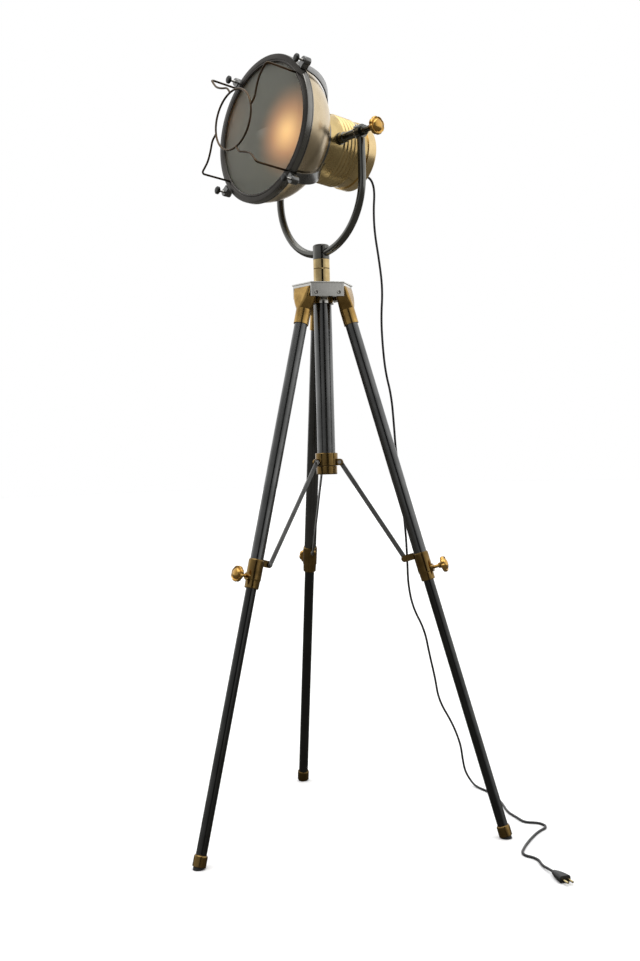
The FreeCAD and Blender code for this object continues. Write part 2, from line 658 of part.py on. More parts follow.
# ---------------------------------------------------------------- yoke
def build_yoke():
    tube = new_body("yoke_tube")
    radius = dim.yoke_tube_dia * 0.5
    profile = disc(tube, "XY_Plane", radius, -dim.yoke_half, 0, lift=dim.yoke_bend_height)
    bend = tube.newObject("PartDesign::Revolution", "YokeBend")
    bend.Profile = profile
    bend.ReferenceAxis = (profile, ["V_Axis"])
    bend.Angle = 180
    bend.Reversed = True
    rise = dim.tilt_height - dim.yoke_bend_height - dim.washer_dia * 0.5 - dim.side_gap
    for hand in (-1, 1):
        leg = disc(tube, "XY_Plane", radius, dim.yoke_half * hand, 0, lift=dim.yoke_bend_height,
                   sketch_name="Leg" + ("Left" if hand < 0 else "Right"))
        pad(tube, leg, rise, name="Leg" + ("L" if hand < 0 else "R"))
    eye_radius = dim.eye_dia * 0.5
    half = dim.eye_thick * 0.5
    parts = [tube]
    bores = []
    for side, hand in (("Right", 1), ("Left", -1)):
        face = dim.yoke_half * hand - half
        parts.append(rod("Eye" + side, eye_radius, dim.eye_thick,
                         at(face, 0, dim.tilt_height, 0, 90, 0)))
        parts.append(rod("EyeNeck" + side, half, eye_radius,
                         at(dim.yoke_half * hand, 0, dim.tilt_height - eye_radius * 1.5)))
        bores.append(rod("EyeBore" + side, bolt_radius + dim.run_gap, dim.eye_thick * 3.0,
                         at(face - dim.eye_thick, 0, dim.tilt_height, 0, 90, 0)))
    whole = fuse("YokeWhole", parts)
    node(cut("YokeBored", whole, group("EyeBores", bores)), "yoke_tube", yoke_frame)

    washers = []
    inner_face = dim.yoke_half - dim.eye_thick * 0.5
    for side, hand in (("Right", 1), ("Left", -1)):
        washer = new_body("toothed_washer_" + side)
        pad(washer, disc(washer, "XY_Plane", dim.washer_dia * 0.5), dim.washer_thick)
        bore = disc(washer, "XY_Plane", bolt_radius + dim.run_gap, sketch_name="Bore")
        pocket(washer, bore, dim.washer_thick, back=True)
        reach = dim.washer_dia * 0.5
        notch = outline(washer, "XY_Plane", [(reach - 3.0, 0), (reach + 1.0, -2.2), (reach + 1.0, 2.2)],
                        sketch_name="Notch")
        hollow = pocket(washer, notch, dim.washer_thick, back=True, name="Tooth")
        pattern(washer, [hollow], 16)
        face = inner_face - dim.washer_thick if hand > 0 else -inner_face
        place(washer, at(face, 0, dim.tilt_height, 0, 90, 0))
        washers.append(washer)
    node(group("ToothedWashers", washers), "toothed_washers", yoke_frame)

    outer_face = dim.yoke_half + dim.eye_thick * 0.5
    reach_in = 30.0
    bolt = turned("pivot_bolt", [
        (0, -reach_in), (bolt_radius, -reach_in), (bolt_radius, 0), (9.0, 0), (9.0, 6.5),
        (6.5, 10.0), (0, 10.0)], {4: (6.0, 1)})
    node(bolt, "pivot_bolt", yoke_frame, at(-outer_face, 0, dim.tilt_height, 0, -90, 0))

    screw = dim.knob_screw_dia * 0.5
    knob = lobed_knob("tilt_knob", dim.tilt_knob_dia, dim.tilt_knob_stem, sized(13.0),
                      dim.knob_screw_dia, sized(6.0))
    spindle_out = dim.spindle_out
    node(knob, "tilt_knob", yoke_frame,
         at(outer_face + dim.side_gap * 2.0 + spindle_out, 0, dim.tilt_height, 0, 90, 0))
    threaded = screw + dim.run_gap
    spindle = turned("tilt_spindle", [
        (0, -reach_in), (bolt_radius, -reach_in), (bolt_radius, 0), (9.5, 0), (9.5, 7.5),
        (6.0, 9.5), (6.0, spindle_out), (threaded, spindle_out), (threaded, spindle_out - 7.0),
        (0, spindle_out - 7.0)])
    node(spindle, "tilt_spindle", yoke_frame,
         at(outer_face + dim.side_gap, 0, dim.tilt_height, 0, 90, 0))


# ---------------------------------------------------------------- legs
def build_leg(name, azimuth):
    frame = leg_frame(azimuth)
    half = dim.bracket_width * 0.5
    socket_radius = upper_radius + dim.socket_wall
    crown = 6.3
    # cast bracket: a wide head on the pivot pin that runs down into a round socket
    shapes = [
        section("HeadTop" + name, sized(-9.0), sized(17.0), half, sized(5.0), sized(8.0)),
        section("HeadLow" + name, sized(-10.0), sized(18.0), half - 1.5, sized(7.0), sized(-12.0)),
        section("Throat" + name, -socket_radius, socket_radius, socket_radius,
                socket_radius - 0.2, sized(-42.0)),
    ]
    loft = doc.addObject("Part::Loft", "BracketHead" + name)
    loft.Sections = shapes
    loft.Solid = True
    loft.Ruled = False
    socket = rod("BracketSocket" + name, socket_radius, dim.socket_end - 42.0 + 1.0,
                 at(0, 0, -dim.socket_end))
    whole = fuse("BracketWhole" + name, [loft, socket])
    bore = rod("BracketBore" + name, upper_radius + dim.seat_gap, dim.socket_depth + 1.0,
               at(0, 0, -dim.socket_end - 1.0))
    pin_hole = rod("BracketPinHole" + name, dim.pivot_pin_dia * 0.5 + dim.run_gap,
                   dim.bracket_width * 2.0, at(0, -dim.bracket_width, 0, 0, 0, -90))
    level = at(0, 0, 0, 0, dim.leg_lean)
    over = block("BracketLevel" + name, 200.0, 200.0, 60.0, level, at(-100, -100, crown))
    inside = block("BracketBack" + name, 60.0, 200.0, 60.0, level, at(-60.0, -100, 0))
    knuckle = rod("BracketKnuckle" + name, crown, dim.bracket_width, at(0, -half, 0, 0, 0, -90))
    shaped = fuse("BracketShaped" + name, [
        cut("BracketTrimmed" + name, whole, group("BracketTrims" + name, [over, inside])), knuckle])
    trimmed = cut("Bracket" + name, shaped, group("BracketTools" + name, [bore, pin_hole]))
    node(trimmed, "leg_bracket_" + name, frame)

    # upper tube
    top = -dim.socket_end + dim.socket_depth
    bottom = -dim.clamp_top - dim.clamp_length + dim.clamp_lip
    inner = upper_radius - dim.tube_wall
    upper = turned("upper_leg_" + name, [(inner, bottom), (upper_radius, bottom),
                                         (upper_radius, top), (inner, top)])
    node(upper, "upper_leg_" + name, frame)

    # clamp: a cast sleeve that tapers to its lip, with an ear for the brace and a screw boss
    clamp_low = -dim.clamp_top - dim.clamp_length
    outer = upper_radius + dim.clamp_wall
    seat = upper_radius + dim.seat_gap
    guide = lower_radius + dim.run_gap
    sleeve = new_body("clamp_sleeve_" + name)
    revolve(sleeve, outline(sleeve, "XZ_Plane", [
        (guide, clamp_low), (outer - 2.6, clamp_low), (outer - 1.4, clamp_low + 1.2),
        (outer - 1.0, clamp_low + 16.0), (outer, clamp_low + 18.5), (outer, -dim.clamp_top - 3.0),
        (outer - 0.8, -dim.clamp_top), (seat, -dim.clamp_top), (seat, bottom), (guide, bottom)]))
    thick = dim.ear_thick
    ear_arm = block("EarArm" + name, dim.ear_inset - upper_radius - 0.5, thick,
                    dim.ear_radius * 2.0,
                    at(-dim.ear_inset, -thick, -dim.ear_along - dim.ear_radius))
    ear_end = rod("EarEnd" + name, dim.ear_radius, thick,
                  at(-dim.ear_inset, 0, -dim.ear_along, 0, 0, 90))
    ear_rivet = rod("EarRivet" + name, dim.rivet_dia * 0.8, 2.0,
                    at(-dim.ear_inset, -thick + 0.2, -dim.ear_along, 0, 0, 90))
    boss = rod("ScrewBoss" + name, 8.0, 4.5, at(outer - 2.0, 0, -dim.knob_along, 0, 90, 0))
    screw_hole = rod("ScrewHole" + name, dim.knob_screw_dia * 0.5 + dim.run_gap, 30.0,
                     at(lower_radius - 4.0, 0, -dim.knob_along, 0, 90, 0))
    tube_space = rod("TubeSpace" + name, seat, dim.clamp_length - dim.clamp_lip + 20.0,
                     at(0, 0, bottom))
    whole = fuse("ClampWhole" + name, [sleeve, ear_arm, ear_end, ear_rivet, boss])
    node(cut("Clamp" + name, whole, group("ClampTools" + name, [screw_hole, tube_space])),
         "leg_clamp_" + name, frame)
    upper_hole = cut_tube_hole(name)

    # lower tube, with its ferrule and rubber foot
    cap_low = -leg_length + dim.foot_lift / lean_cos
    low = cap_low + 6.0
    high = -dim.clamp_top + dim.tube_overlap
    inner = lower_radius - dim.tube_wall
    lower = turned("lower_leg_" + name, [(inner, low), (lower_radius, low), (lower_radius, high),
                                         (inner, high)])
    node(lower, "lower_leg_" + name, frame)
    cap_seat = lower_radius + dim.seat_gap
    pad_radius = dim.foot_pad_dia * 0.5
    cap = turned("foot_cap_" + name, [
        (pad_radius + dim.seat_gap - 3.0, cap_low), (cap_radius, cap_low),
        (cap_radius, cap_low + dim.foot_cap_height - 3.0),
        (cap_radius - 1.2, cap_low + dim.foot_cap_height), (cap_seat, cap_low + dim.foot_cap_height),
        (cap_seat, low), (pad_radius + dim.seat_gap - 3.0, low)])
    node(cap, "foot_cap_" + name, frame)

    # the rubber foot: a plug in the cap with a flange below it, cut level with the floor
    rubber = turned("rubber_" + name, [
        (0, cap_low - 12.0), (pad_radius, cap_low - 12.0), (pad_radius, cap_low),
        (pad_radius - 3.0, cap_low), (pad_radius - 3.0, low), (0, low)])
    floor_cut = block("FloorCut" + name, 400.0, 400.0, 60.0, at(0, 0, 0, 0, dim.leg_lean),
                      at(-200 + 300, -200, -dim.pivot_height - 60.0))
    node(cut("FootPad" + name, rubber, floor_cut), "foot_pad_" + name, frame)

    # clamp knob
    knob_face = outer + 2.5 + dim.side_gap
    screw_reach = knob_face - lower_radius - dim.rest_gap
    knob = lobed_knob("leg_knob_" + name, dim.leg_knob_dia, dim.leg_knob_stem, sized(11.0),
                      dim.knob_screw_dia, screw_reach)
    node(knob, "leg_knob_" + name, frame, at(knob_face, 0, -dim.knob_along, 0, 90, 0))
    return upper_hole


def cut_tube_hole(name):
    """The screw reaches the lower tube through a hole in the upper one, so the tube is drilled."""
    tube = NODES.pop(-2)
    place(tube)
    tube.clearExpression("Placement")
    tube.Placement = FreeCAD.Placement()
    tube.Label = "UpperTube" + name
    hole = rod("TubeHole" + name, dim.knob_screw_dia * 0.5 + dim.rest_gap, 30.0, at(0, 0, -dim.knob_along, 0, 90, 0))
    drilled = cut("UpperLegDrilled" + name, tube, hole)
    azimuth = dict(LEGS)[name]
    return node(drilled, "upper_leg_" + name, leg_frame(azimuth))


# ---------------------------------------------------------------- collar and braces
def build_collar():
    bore = column_radius + dim.run_gap
    outer = dim.collar_dia * 0.5
    ring = turned("collar_ring", [
        (bore, 0), (outer - 0.8, 0), (outer, 0.8), (outer, dim.collar_height - 0.8),
        (outer - 0.8, dim.collar_height), (bore, dim.collar_height)])
    pieces = [ring]
    holes = []
    rivets = []
    thick = dim.ear_thick
    for name, azimuth in LEGS:
        facing = at(0, 0, 0, azimuth)
        arm = dim.collar_ear_reach - column_radius - 1.0
        pieces.append(block("CollarArm" + name, arm, thick, dim.ear_radius * 2.0, facing,
                            at(column_radius + 1.0, -thick, dim.collar_ear_rise - dim.ear_radius)))
        pieces.append(rod("CollarEar" + name, dim.ear_radius, thick, facing,
                          at(dim.collar_ear_reach, 0, dim.collar_ear_rise, 0, 0, 90)))
        radius = dim.rivet_dia * 0.5
        holes.append(rod("RivetHole" + name, radius + dim.seat_gap, thick * 3.0, facing,
                         at(dim.collar_ear_reach, thick, dim.collar_ear_rise, 0, 0, 90)))
        through = thick + dim.side_gap + dim.brace_thick + dim.side_gap
        shank = rod("RivetShank" + name, radius, through, facing,
                    at(dim.collar_ear_reach, through - thick, dim.collar_ear_rise, 0, 0, 90))
        heads = [rod("RivetHead" + name, dim.rivet_dia * 0.8, 1.8, facing,
                     at(dim.collar_ear_reach, through - thick + 1.8, dim.collar_ear_rise, 0, 0, 90)),
                 rod("RivetTail" + name, dim.rivet_dia * 0.8, 1.8, facing,
                     at(dim.collar_ear_reach, -thick, dim.collar_ear_rise, 0, 0, 90))]
        rivets.append(fuse("CollarRivet" + name, [shank] + heads))
    whole = fuse("CollarWhole", pieces)
    node(cut("Collar", whole, group("CollarHoles", holes)), "brace_collar",
         at(0, axis_y, collar_bottom))
    node(group("CollarRivets", rivets), "collar_rivets", at(0, axis_y, collar_bottom))


def build_brace(name, azimuth):
    """A flat bar from the collar's ear to the clamp's ear, with rounded ends and a rivet head."""
    turn = math.radians(azimuth)
    frame = at(dim.collar_ear_reach * math.cos(turn),
               axis_y + dim.collar_ear_reach * math.sin(turn), collar_ear_height, azimuth,
               -brace_angle, 0)
    half = dim.brace_width * 0.5
    end_radius = dim.brace_end_dia * 0.5
    side = dim.side_gap
    bar = block("BraceBar" + name, dim.brace_width, dim.brace_thick, dim.brace_length,
                at(-half, side, -dim.brace_length))
    ends = [rod("BraceEnd%s%d" % (name, index), end_radius, dim.brace_thick,
                at(0, side + dim.brace_thick, -dim.brace_length * index, 0, 0, 90))
            for index in (0, 1)]
    head = rod("BraceRivet" + name, dim.rivet_dia * 0.8, 2.0,
               at(0, side + dim.brace_thick + 1.8, -dim.brace_length, 0, 0, 90))
    hole = rod("BraceHole" + name, dim.rivet_dia * 0.5 + dim.run_gap, 20.0,
               at(0, 10.0, 0, 0, 0, 90))
    node(cut("Brace" + name, fuse("BraceWhole" + name, [bar] + ends + [head]), hole),
         "brace_" + name, frame)


# ---------------------------------------------------------------- lamp head
# Head pieces are drawn with their axis along Y: the light leaves towards -Y, the knob is on +X.
def ahead(distance):
    return -sized(distance)


def turned_head(label, corners, arcs=None):
    body = new_body(label)
    revolve(body, outline(body, "XY_Plane", corners, arcs))
    return body


def build_bezel():
    face = dim.face_ahead
    inner = bezel_radius - dim.bezel_face
    skirt = bezel_radius - dim.bezel_wall
    lip = dim.bezel_lip
    edge = 2.0
    ring = new_body("bezel_ring")
    revolve(ring, outline(ring, "XY_Plane", [
        (inner, ahead(face - 1.0)), (inner + 1.0, ahead(face)), (bezel_radius - edge, ahead(face)),
        (bezel_radius, ahead(face - edge)), (bezel_radius, ahead(bezel_back)),
        (skirt, ahead(bezel_back)), (skirt, ahead(face - lip)), (inner, ahead(face - lip))],
        {2: (edge, 1)}))
    hole = disc(ring, "XZ_Plane", dim.guard_wire * 0.5 + dim.seat_gap,
                dim.guard_corner * cosine(dim.guard_turn), dim.guard_corner * sine(dim.guard_turn),
                lift=dim.face_ahead + 1.0, sketch_name="WireHole")
    drill = pocket(ring, hole, 4.0, name="WireBore")
    pattern(ring, [drill], 4, axis="Y_Axis")
    node(ring, "bezel_ring", head_frame)

    glass_radius = skirt - 3.0
    back = glass_front
    bow = 3.0
    reach = inner - 1.0
    bow_radius = (reach * reach + bow * bow) / (bow * 2.0)
    glass = turned_head("front_glass", [
        (0, ahead(back - dim.glass_thick + bow)), (0, ahead(back + bow)), (reach, ahead(back)),
        (glass_radius, ahead(back)), (glass_radius, ahead(back - dim.glass_thick)),
        (reach, ahead(back - dim.glass_thick))],
        {1: (bow_radius, 1), 5: (bow_radius, -1)})
    node(glass, "front_glass", head_frame)


def build_dome():
    wall = dim.shell_wall
    back = bezel_back
    front = glass_front - dim.glass_thick - dim.rest_gap
    bore = can_radius + dim.seat_gap
    neck = dim.neck_ahead
    dome = turned_head("dome_shell", [
        (dome_rim - wall, ahead(front)), (dome_rim, ahead(front)), (dome_rim, ahead(back)),
        (neck_radius, ahead(neck)), (neck_radius, ahead(neck - dim.band_width - 2.0)),
        (bore, ahead(neck - dim.band_width - 2.0)), (bore, ahead(neck + wall)),
        (dome_rim - wall, ahead(back))],
        {2: (dim.dome_bulge, 1), 6: (dim.dome_bulge - wall, -1)})
    node(dome, "dome_shell", head_frame)


def build_can():
    wall = dim.shell_wall
    rear = -dim.can_back
    front = dim.neck_ahead - 1.0
    outer = can_radius
    corners = [(outer - wall, ahead(front)), (outer, ahead(front))]
    arcs = {}
    half = dim.rib_pitch * 0.42
    rise = dim.rib_height
    rib_radius = (half * half + rise * rise) / (rise * 2.0)
    for index in range(5):
        middle = -dim.first_rib - dim.rib_pitch * (index + 0.5) - 3.0
        corners.append((outer, ahead(middle + half)))
        arcs[len(corners) - 1] = (rib_radius, 1)
        corners.append((outer, ahead(middle - half)))
    corners += [(outer, ahead(rear)), (outer - wall, ahead(rear))]
    can = new_body("can_shell")
    revolve(can, outline(can, "XY_Plane", corners, arcs))
    foot = dim.trunnion_foot_dia * 0.5 + dim.seat_gap
    across = rod("TrunnionBore", foot, dim.can_dia * 2.0, at(-dim.can_dia, 0, 0, 0, 90, 0))
    node(cut("RearCan", can, across), "rear_can", head_frame)

    rim = can_radius + dim.cap_over
    seat = can_radius + dim.seat_gap
    back = -dim.can_back - dim.cap_height
    edge = 3.0
    cap = turned_head("end_cap_shell", [
        (0, ahead(back)), (0, ahead(back + 3.0)), (seat - wall - 1.0, ahead(back + 3.0)),
        (seat - wall - 1.0, ahead(rear - 0.2)), (seat, ahead(rear - 0.2)),
        (seat, ahead(rear + 6.0)), (rim, ahead(rear + 6.0)), (rim, ahead(back + edge)),
        (rim - edge, ahead(back))], {7: (edge, 1)})
    hole = rod("GlandHole", 6.0 + dim.seat_gap, 20.0,
               at(0, dim.can_back + dim.cap_height - 10.0, -dim.gland_drop, 0, 0, -90))
    node(cut("EndCap", cap, hole), "end_cap", head_frame)

    cord = dim.cord_dia * 0.5
    gland = turned("cord_gland", [
        (0, -8.0), (6.0, -8.0), (6.0, 0), (9.0, 0), (9.0, 3.5), (7.0, 4.5),
        (cord + 1.3, dim.gland_length), (0, dim.gland_length)])
    node(gland, "cord_gland", head_frame,
         at(0, dim.can_back + dim.cap_height, -dim.gland_drop, 0, 0, -90))


def build_trunnions():
    """The stubs on the can's sides that carry the head in the yoke, each with a flanged foot."""
    foot = dim.trunnion_foot_dia * 0.5
    shaft = dim.trunnion_dia * 0.5
    inside = can_radius - 5.0
    end = dim.yoke_half - dim.eye_thick * 0.5 - dim.washer_thick - dim.rest_gap
    bore = bolt_radius + dim.run_gap
    stubs = []
    for side, turn in (("right", 90), ("left", -90)):
        stub = turned("trunnion_" + side, [
            (0, inside), (foot, inside), (foot, can_radius + 4.0), (shaft + 2.0, can_radius + 4.0),
            (shaft + 2.0, can_radius + 16.0), (shaft, can_radius + 17.5), (shaft, end),
            (bore, end), (bore, end - 32.0), (0, end - 32.0)])
        stubs.append(place(stub, at(0, 0, 0, 0, turn, 0)))
    node(group("Trunnions", stubs), "trunnions", head_frame)


def build_lamp():
    """The lamp holder on the end of the can, and its bulb."""
    radius = dim.holder_dia * 0.5
    neck = 13.0
    globe = dim.bulb_dia * 0.5
    base = dim.bulb_ahead - globe - 24.0
    shelf = -dim.can_back + 6.0
    holder = turned_head("lamp_holder", [
        (0, ahead(-dim.can_back - dim.cap_height + 3.0)),
        (radius - 6.0, ahead(-dim.can_back - dim.cap_height + 3.0)), (radius - 6.0, ahead(shelf)),
        (radius, ahead(shelf + 8.0)), (radius, ahead(base)), (neck + 1.0, ahead(base)),
        (neck + 1.0, ahead(base - 26.0)), (0, ahead(base - 26.0))])
    node(holder, "lamp_holder", head_frame)
    waist = root(sized(globe * globe) - neck * neck)
    bulb = turned_head("bulb", [
        (0, ahead(base - 25.5)), (neck, ahead(base - 25.5)), (neck, ahead(dim.bulb_ahead - waist)),
        (globe, ahead(dim.bulb_ahead)), (0, ahead(dim.bulb_ahead + globe))],
        {2: (globe * 1.0000001, -1), 3: (globe * 1.0000001, -1)})
    node(bulb, "bulb", head_frame)


def rounded_path(points, share=0.45):
    """Straight runs joined by tangent arcs; also the radii of the arcs."""
    edges = []
    radii = []
    start = points[0]
    for before, corner, after in zip(points, points[1:], points[2:]):
        inward = (corner - before)
        onward = (after - corner)
        shorter = min(inward.Length, onward.Length)
        inward.normalize()
        onward.normalize()
        turn = math.acos(max(-1.0, min(1.0, inward.dot(onward))))
        trim = share * shorter
        radii.append(trim / math.tan(turn / 2.0))
        first = corner - inward * trim
        last = corner + onward * trim
        half_way = (inward * -1 + onward).normalize()
        bulge = corner + half_way * (radii[-1] / math.cos(turn / 2.0) - radii[-1])
        edges.append(Part.LineSegment(start, first).toShape())
        edges.append(Part.Arc(first, bulge, last).toShape())
        start = last
    edges.append(Part.LineSegment(start, points[-1]).toShape())
    return Part.Wire(edges), radii


def tube_along(wire, diameter):
    """A round bar along a wire."""
    first = wire.Edges[0]
    start = first.valueAt(first.FirstParameter)
    heading = first.tangentAt(first.FirstParameter)
    ring = Part.Wire([Part.makeCircle(diameter / 2.0, start, heading)])
    return wire.makePipeShell([ring], True, False)


def polar(reach, angle, distance):
    turn = math.radians(angle)
    return Vector(reach * math.cos(turn), -distance, reach * math.sin(turn))


def build_guard():
    """The wire guard: a ring, and four arms that wave out to a corner and turn back to the bezel."""
    wire = dim.guard_wire.value
    ring_radius = dim.guard_ring_dia.value / 2.0
    corner = dim.guard_corner.value
    plane = (dim.face_ahead + dim.guard_ahead).value
    face = (dim.face_ahead - 2.6).value
    first = dim.guard_turn.value
    ring = Part.makeTorus(ring_radius, wire / 2.0, Vector(0, -plane, 0), Vector(0, 1, 0))
    span = corner - ring_radius
    wave = [(0.0, -25.0), (0.20, -19.5), (0.40, -7.0), (0.62, -1.0), (1.0, 0.0)]
    guard = ring
    for count in range(4):
        heading = first + 90.0 * count
        route = [polar(ring_radius + span * share, heading + lag, plane) for share, lag in wave]
        route.append(polar(corner, heading, face))
        guard = guard.fuse(tube_along(bent_route(route, dim.guard_bend.value), wire))
    piece = doc.addObject("Part::Feature", "WireGuard")
    piece.Shape = guard.removeSplitter()
    node(piece, "wire_guard", head_frame)


def bent_route(points, corner_bend):
    """Like rounded_path, but the last corner is a bend of a set radius."""
    edges = []
    start = points[0]
    for index, (before, corner, after) in enumerate(zip(points, points[1:], points[2:])):
        inward = (corner - before)
        onward = (after - corner)
        trim = 0.42 * min(inward.Length, onward.Length)
        inward.normalize()
        onward.normalize()
        turn = math.acos(inward.dot(onward))
        if index == len(points) - 3:
            trim = corner_bend * math.tan(turn / 2.0)
        radius = trim / math.tan(turn / 2.0)
        first = corner - inward * trim
        last = corner + onward * trim
        half_way = (inward * -1 + onward).normalize()
        bulge = corner + half_way * (radius / math.cos(turn / 2.0) - radius)
        edges.append(Part.LineSegment(start, first).toShape())
        edges.append(Part.Arc(first, bulge, last).toShape())
        start = last
    edges.append(Part.LineSegment(start, points[-1]).toShape())
    return Part.Wire(edges)


def build_straps():
    """Four straps over the dome, each from a thumbscrew lug at the rim to the band round the neck."""
    straps = new_body("strap_frame")
    low = dim.strap_gap
    high = dim.strap_gap + dim.strap_thick
    neck = neck_radius + dim.seat_gap
    band = neck + dim.band_thick
    neck_ahead = dim.neck_ahead
    revolve(straps, outline(straps, "XY_Plane", [
        (neck, ahead(neck_ahead - 1.0)), (band, ahead(neck_ahead - 1.0)),
        (band, ahead(neck_ahead - dim.band_width)), (neck, ahead(neck_ahead - dim.band_width))],
        sketch_name="Band"))
    rim = bezel_radius + 0.4
    shoulder = bezel_back - 3.0
    strap = outline(straps, "XY_Plane", [
        (rim, ahead(bezel_back + 1.0)), (rim + dim.strap_thick, ahead(bezel_back + 1.0)),
        (rim + dim.strap_thick, ahead(shoulder - 4.0)),
        (band + 2.0, ahead(neck_ahead + high * 0.2)), (band + 2.0, ahead(neck_ahead - dim.band_width)),
        (band - 1.0, ahead(neck_ahead - dim.band_width)), (band - 1.0, ahead(neck_ahead + low * 0.2)),
        (rim, ahead(shoulder - 4.0))],
        {2: (dim.dome_bulge + high, 1), 6: (dim.dome_bulge + low, -1)}, sketch_name="Strap")
    arm = pad(straps, strap, dim.strap_width, midplane=True, name="StrapPad")
    half = dim.lug_dia * 0.5
    lug = outline(straps, "XZ_Plane", [
        (rim, -half * 0.9), (dim.lug_reach, -half), (dim.lug_reach, half), (rim, half * 0.9)],
        {1: (half * 1.0000001, 1)}, lift=bezel_back + 1.0, sketch_name="Lug")
    lug_pad = pad(straps, lug, dim.bezel_depth + 0.6, name="LugPad")
    hole = disc(straps, "XZ_Plane", dim.thumb_shank_dia * 0.5 + dim.run_gap, dim.lug_reach, 0,
                lift=dim.face_ahead + 10.0, sketch_name="ScrewHole")
    drill = pocket(straps, hole, 60.0, name="ScrewBore")
    pattern(straps, [arm, lug_pad, drill], 4, axis="Y_Axis")
    node(straps, "strap_frame", head_frame, guard_frame)

    shank = dim.thumb_shank_dia * 0.5
    head = dim.thumb_head_dia * 0.5
    lug_front = dim.face_ahead + 1.6
    bare = dim.thumb_shank_bare
    thick = dim.thumb_head_thick
    names = ("upper_right", "upper_left", "lower_left", "lower_right")
    for index, name in enumerate(names):
        screw = turned("thumbscrew_" + name, [
            (0, -14.0), (shank, -14.0), (shank, bare), (head * 0.55, bare), (head * 0.9, bare + 1.6),
            (head, bare + 3.0), (head, bare + thick - 1.5), (head - 1.5, bare + thick),
            (0, bare + thick)])
        around = at(0, 0, 0, 0, -dim.guard_turn - 90.0 * index, 0)
        node(screw, "thumbscrew_" + name, head_frame, around,
             at(dim.lug_reach, ahead(lug_front), 0, 0, 0, 90))


# ---------------------------------------------------------------- cord
# The route is chosen by hand: out of the gland, down beside the tripod and across the floor.
CORD_HEAD = [(7, 231, 1398.2)]
CORD_BEND = [(6, 246, 1385), (3, 252, 1364)]
CORD_YOKE = [(0, 251, 1331), (1, 251, 1281), (4, 260, 1220)]
CORD_ROUTE = [
    (5, 268, 1156), (-2, 268, 1094), (-4, 272, 1036), (-5, 280, 974), (-1, 293, 920),
    (-4, 302, 856), (-7, 309, 796), (-8, 322, 730), (-11, 332, 666), (-13, 341, 606),
    (-19, 350, 546), (-25, 357, 488), (-24, 370, 434), (-13, 396, 380), (-12, 409, 322),
    (-10, 424, 266), (-12, 437, 210), (2, 468, 152), (8, 488, 100), (5, 497, 62),
    (6, 504, 32), (17, 512, 9), (40, 503, 2.6), (78, 494, 2.6), (122, 474, 2.6),
    (168, 440, 2.6), (214, 400, 2.6), (252, 384, 2.6), (284, 368, 2.6), (308, 388, 2.6),
    (337, 378, 2.6), (341, 340, 2.6), (358, 292, 2.6), (378, 246, 2.6), (401, 206, 2.6),
    (436, 212, 2.6), (466, 186, 2.6),
]
PLUG_START = (508, 164, 6.8)
PLUG_HEADING = (0.922, -0.388, 0.0)


def build_cord():
    base = axis_y.value
    tip = dim.can_back.value + dim.cap_height.value + dim.gland_length.value
    frame = FreeCAD.Placement(Vector(0, base, dim.tilt_height.value),
                              FreeCAD.Rotation(dim.head_turn.value, 0, -dim.head_tilt.value))
    start = frame.multVec(Vector(0, tip, -dim.gland_drop.value))
    heading = frame.Rotation.multVec(Vector(0, 1, 0))
    route = [start, start + heading * 19.0]
    for stretch in (CORD_BEND, CORD_YOKE, CORD_ROUTE):
        route += [Vector(*spot) for spot in stretch]
    plug_start = Vector(*PLUG_START)
    lead_in = Vector(*PLUG_HEADING)
    route.append(plug_start - lead_in * 18.0)
    route.append(plug_start)
    wire, radii = rounded_path(route)
    diameter = dim.cord_dia.value
    whole = tube_along(wire, diameter)
    expected = math.pi * diameter ** 2 / 4.0 * wire.Length
    print("cord length %.1f mm, volume share %.4f" % (wire.Length, whole.Volume / expected))
    print("cord radii " + " ".join("%.0f" % radius for radius in radii))

    # it is parted where the head tilts and where the yoke turns
    tilt_reach = 158.0
    turn_height = 1190.0
    part_gap = dim.rest_gap.value
    axis_point = frame.multVec(Vector(-300, 0, 0))
    across = frame.Rotation.multVec(Vector(1, 0, 0))
    near = Part.makeCylinder(tilt_reach, 600, axis_point, across)
    far = Part.makeCylinder(tilt_reach + part_gap, 600, axis_point, across)
    above = Part.makeBox(2000, 2000, 1000, Vector(-1000, -1000, turn_height + part_gap))
    below = Part.makeBox(2000, 2000, 1600, Vector(-1000, -1000, turn_height - 1600))
    pieces = [("cord_head", whole.common(near)), ("cord_yoke", whole.common(above).cut(far)),
              ("cord_main", whole.common(below))]
    for label, shape in pieces:
        piece = doc.addObject("Part::Feature", inner_name(label))
        piece.Shape = shape.Solids[0]
        node(piece, label)

    heading_angle = math.degrees(math.atan2(lead_in.y, lead_in.x))
    plug_frame = at(plug_start.x, plug_start.y, plug_start.z, heading_angle)
    length = dim.plug_length
    shapes = []
    for index, (share, wide, tall) in enumerate(((0.0, 4.0, 3.9), (0.45, 8.5, 6.2), (1.0, 11.5, 6.4))):
        shapes.append(plug_section("PlugSection%d" % index, wide, tall, length * share))
    body = doc.addObject("Part::Loft", "PlugLoft")
    body.Sections = shapes
    body.Solid = True
    holes = [rod("PlugHole%d" % hand, 2.0 + dim.seat_gap, 8.0, at(dim.plug_length - 8.0, 5.0 * hand, 0, 0, 90))
             for hand in (-1, 1)]
    node(cut("PlugBody", body, group("PlugHoles", holes)), "plug_body", plug_frame)
    pins = [rod("PlugPin%d" % hand, 2.0, 26.0, at(dim.plug_length - 8.0, 5.0 * hand, 0, 0, 90))
            for hand in (-1, 1)]
    node(group("PlugPins", pins), "plug_pins", plug_frame)


def plug_section(name, half_width, half_height, along):
    """A rounded rectangle across the plug."""
    sketch = section(name, -half_height, half_height, sized(half_width), sized(half_height * 0.75),
                     sized(0.0))
    sketch.setExpression("Placement", at(along, 0, 0, 0, 90))
    return sketch


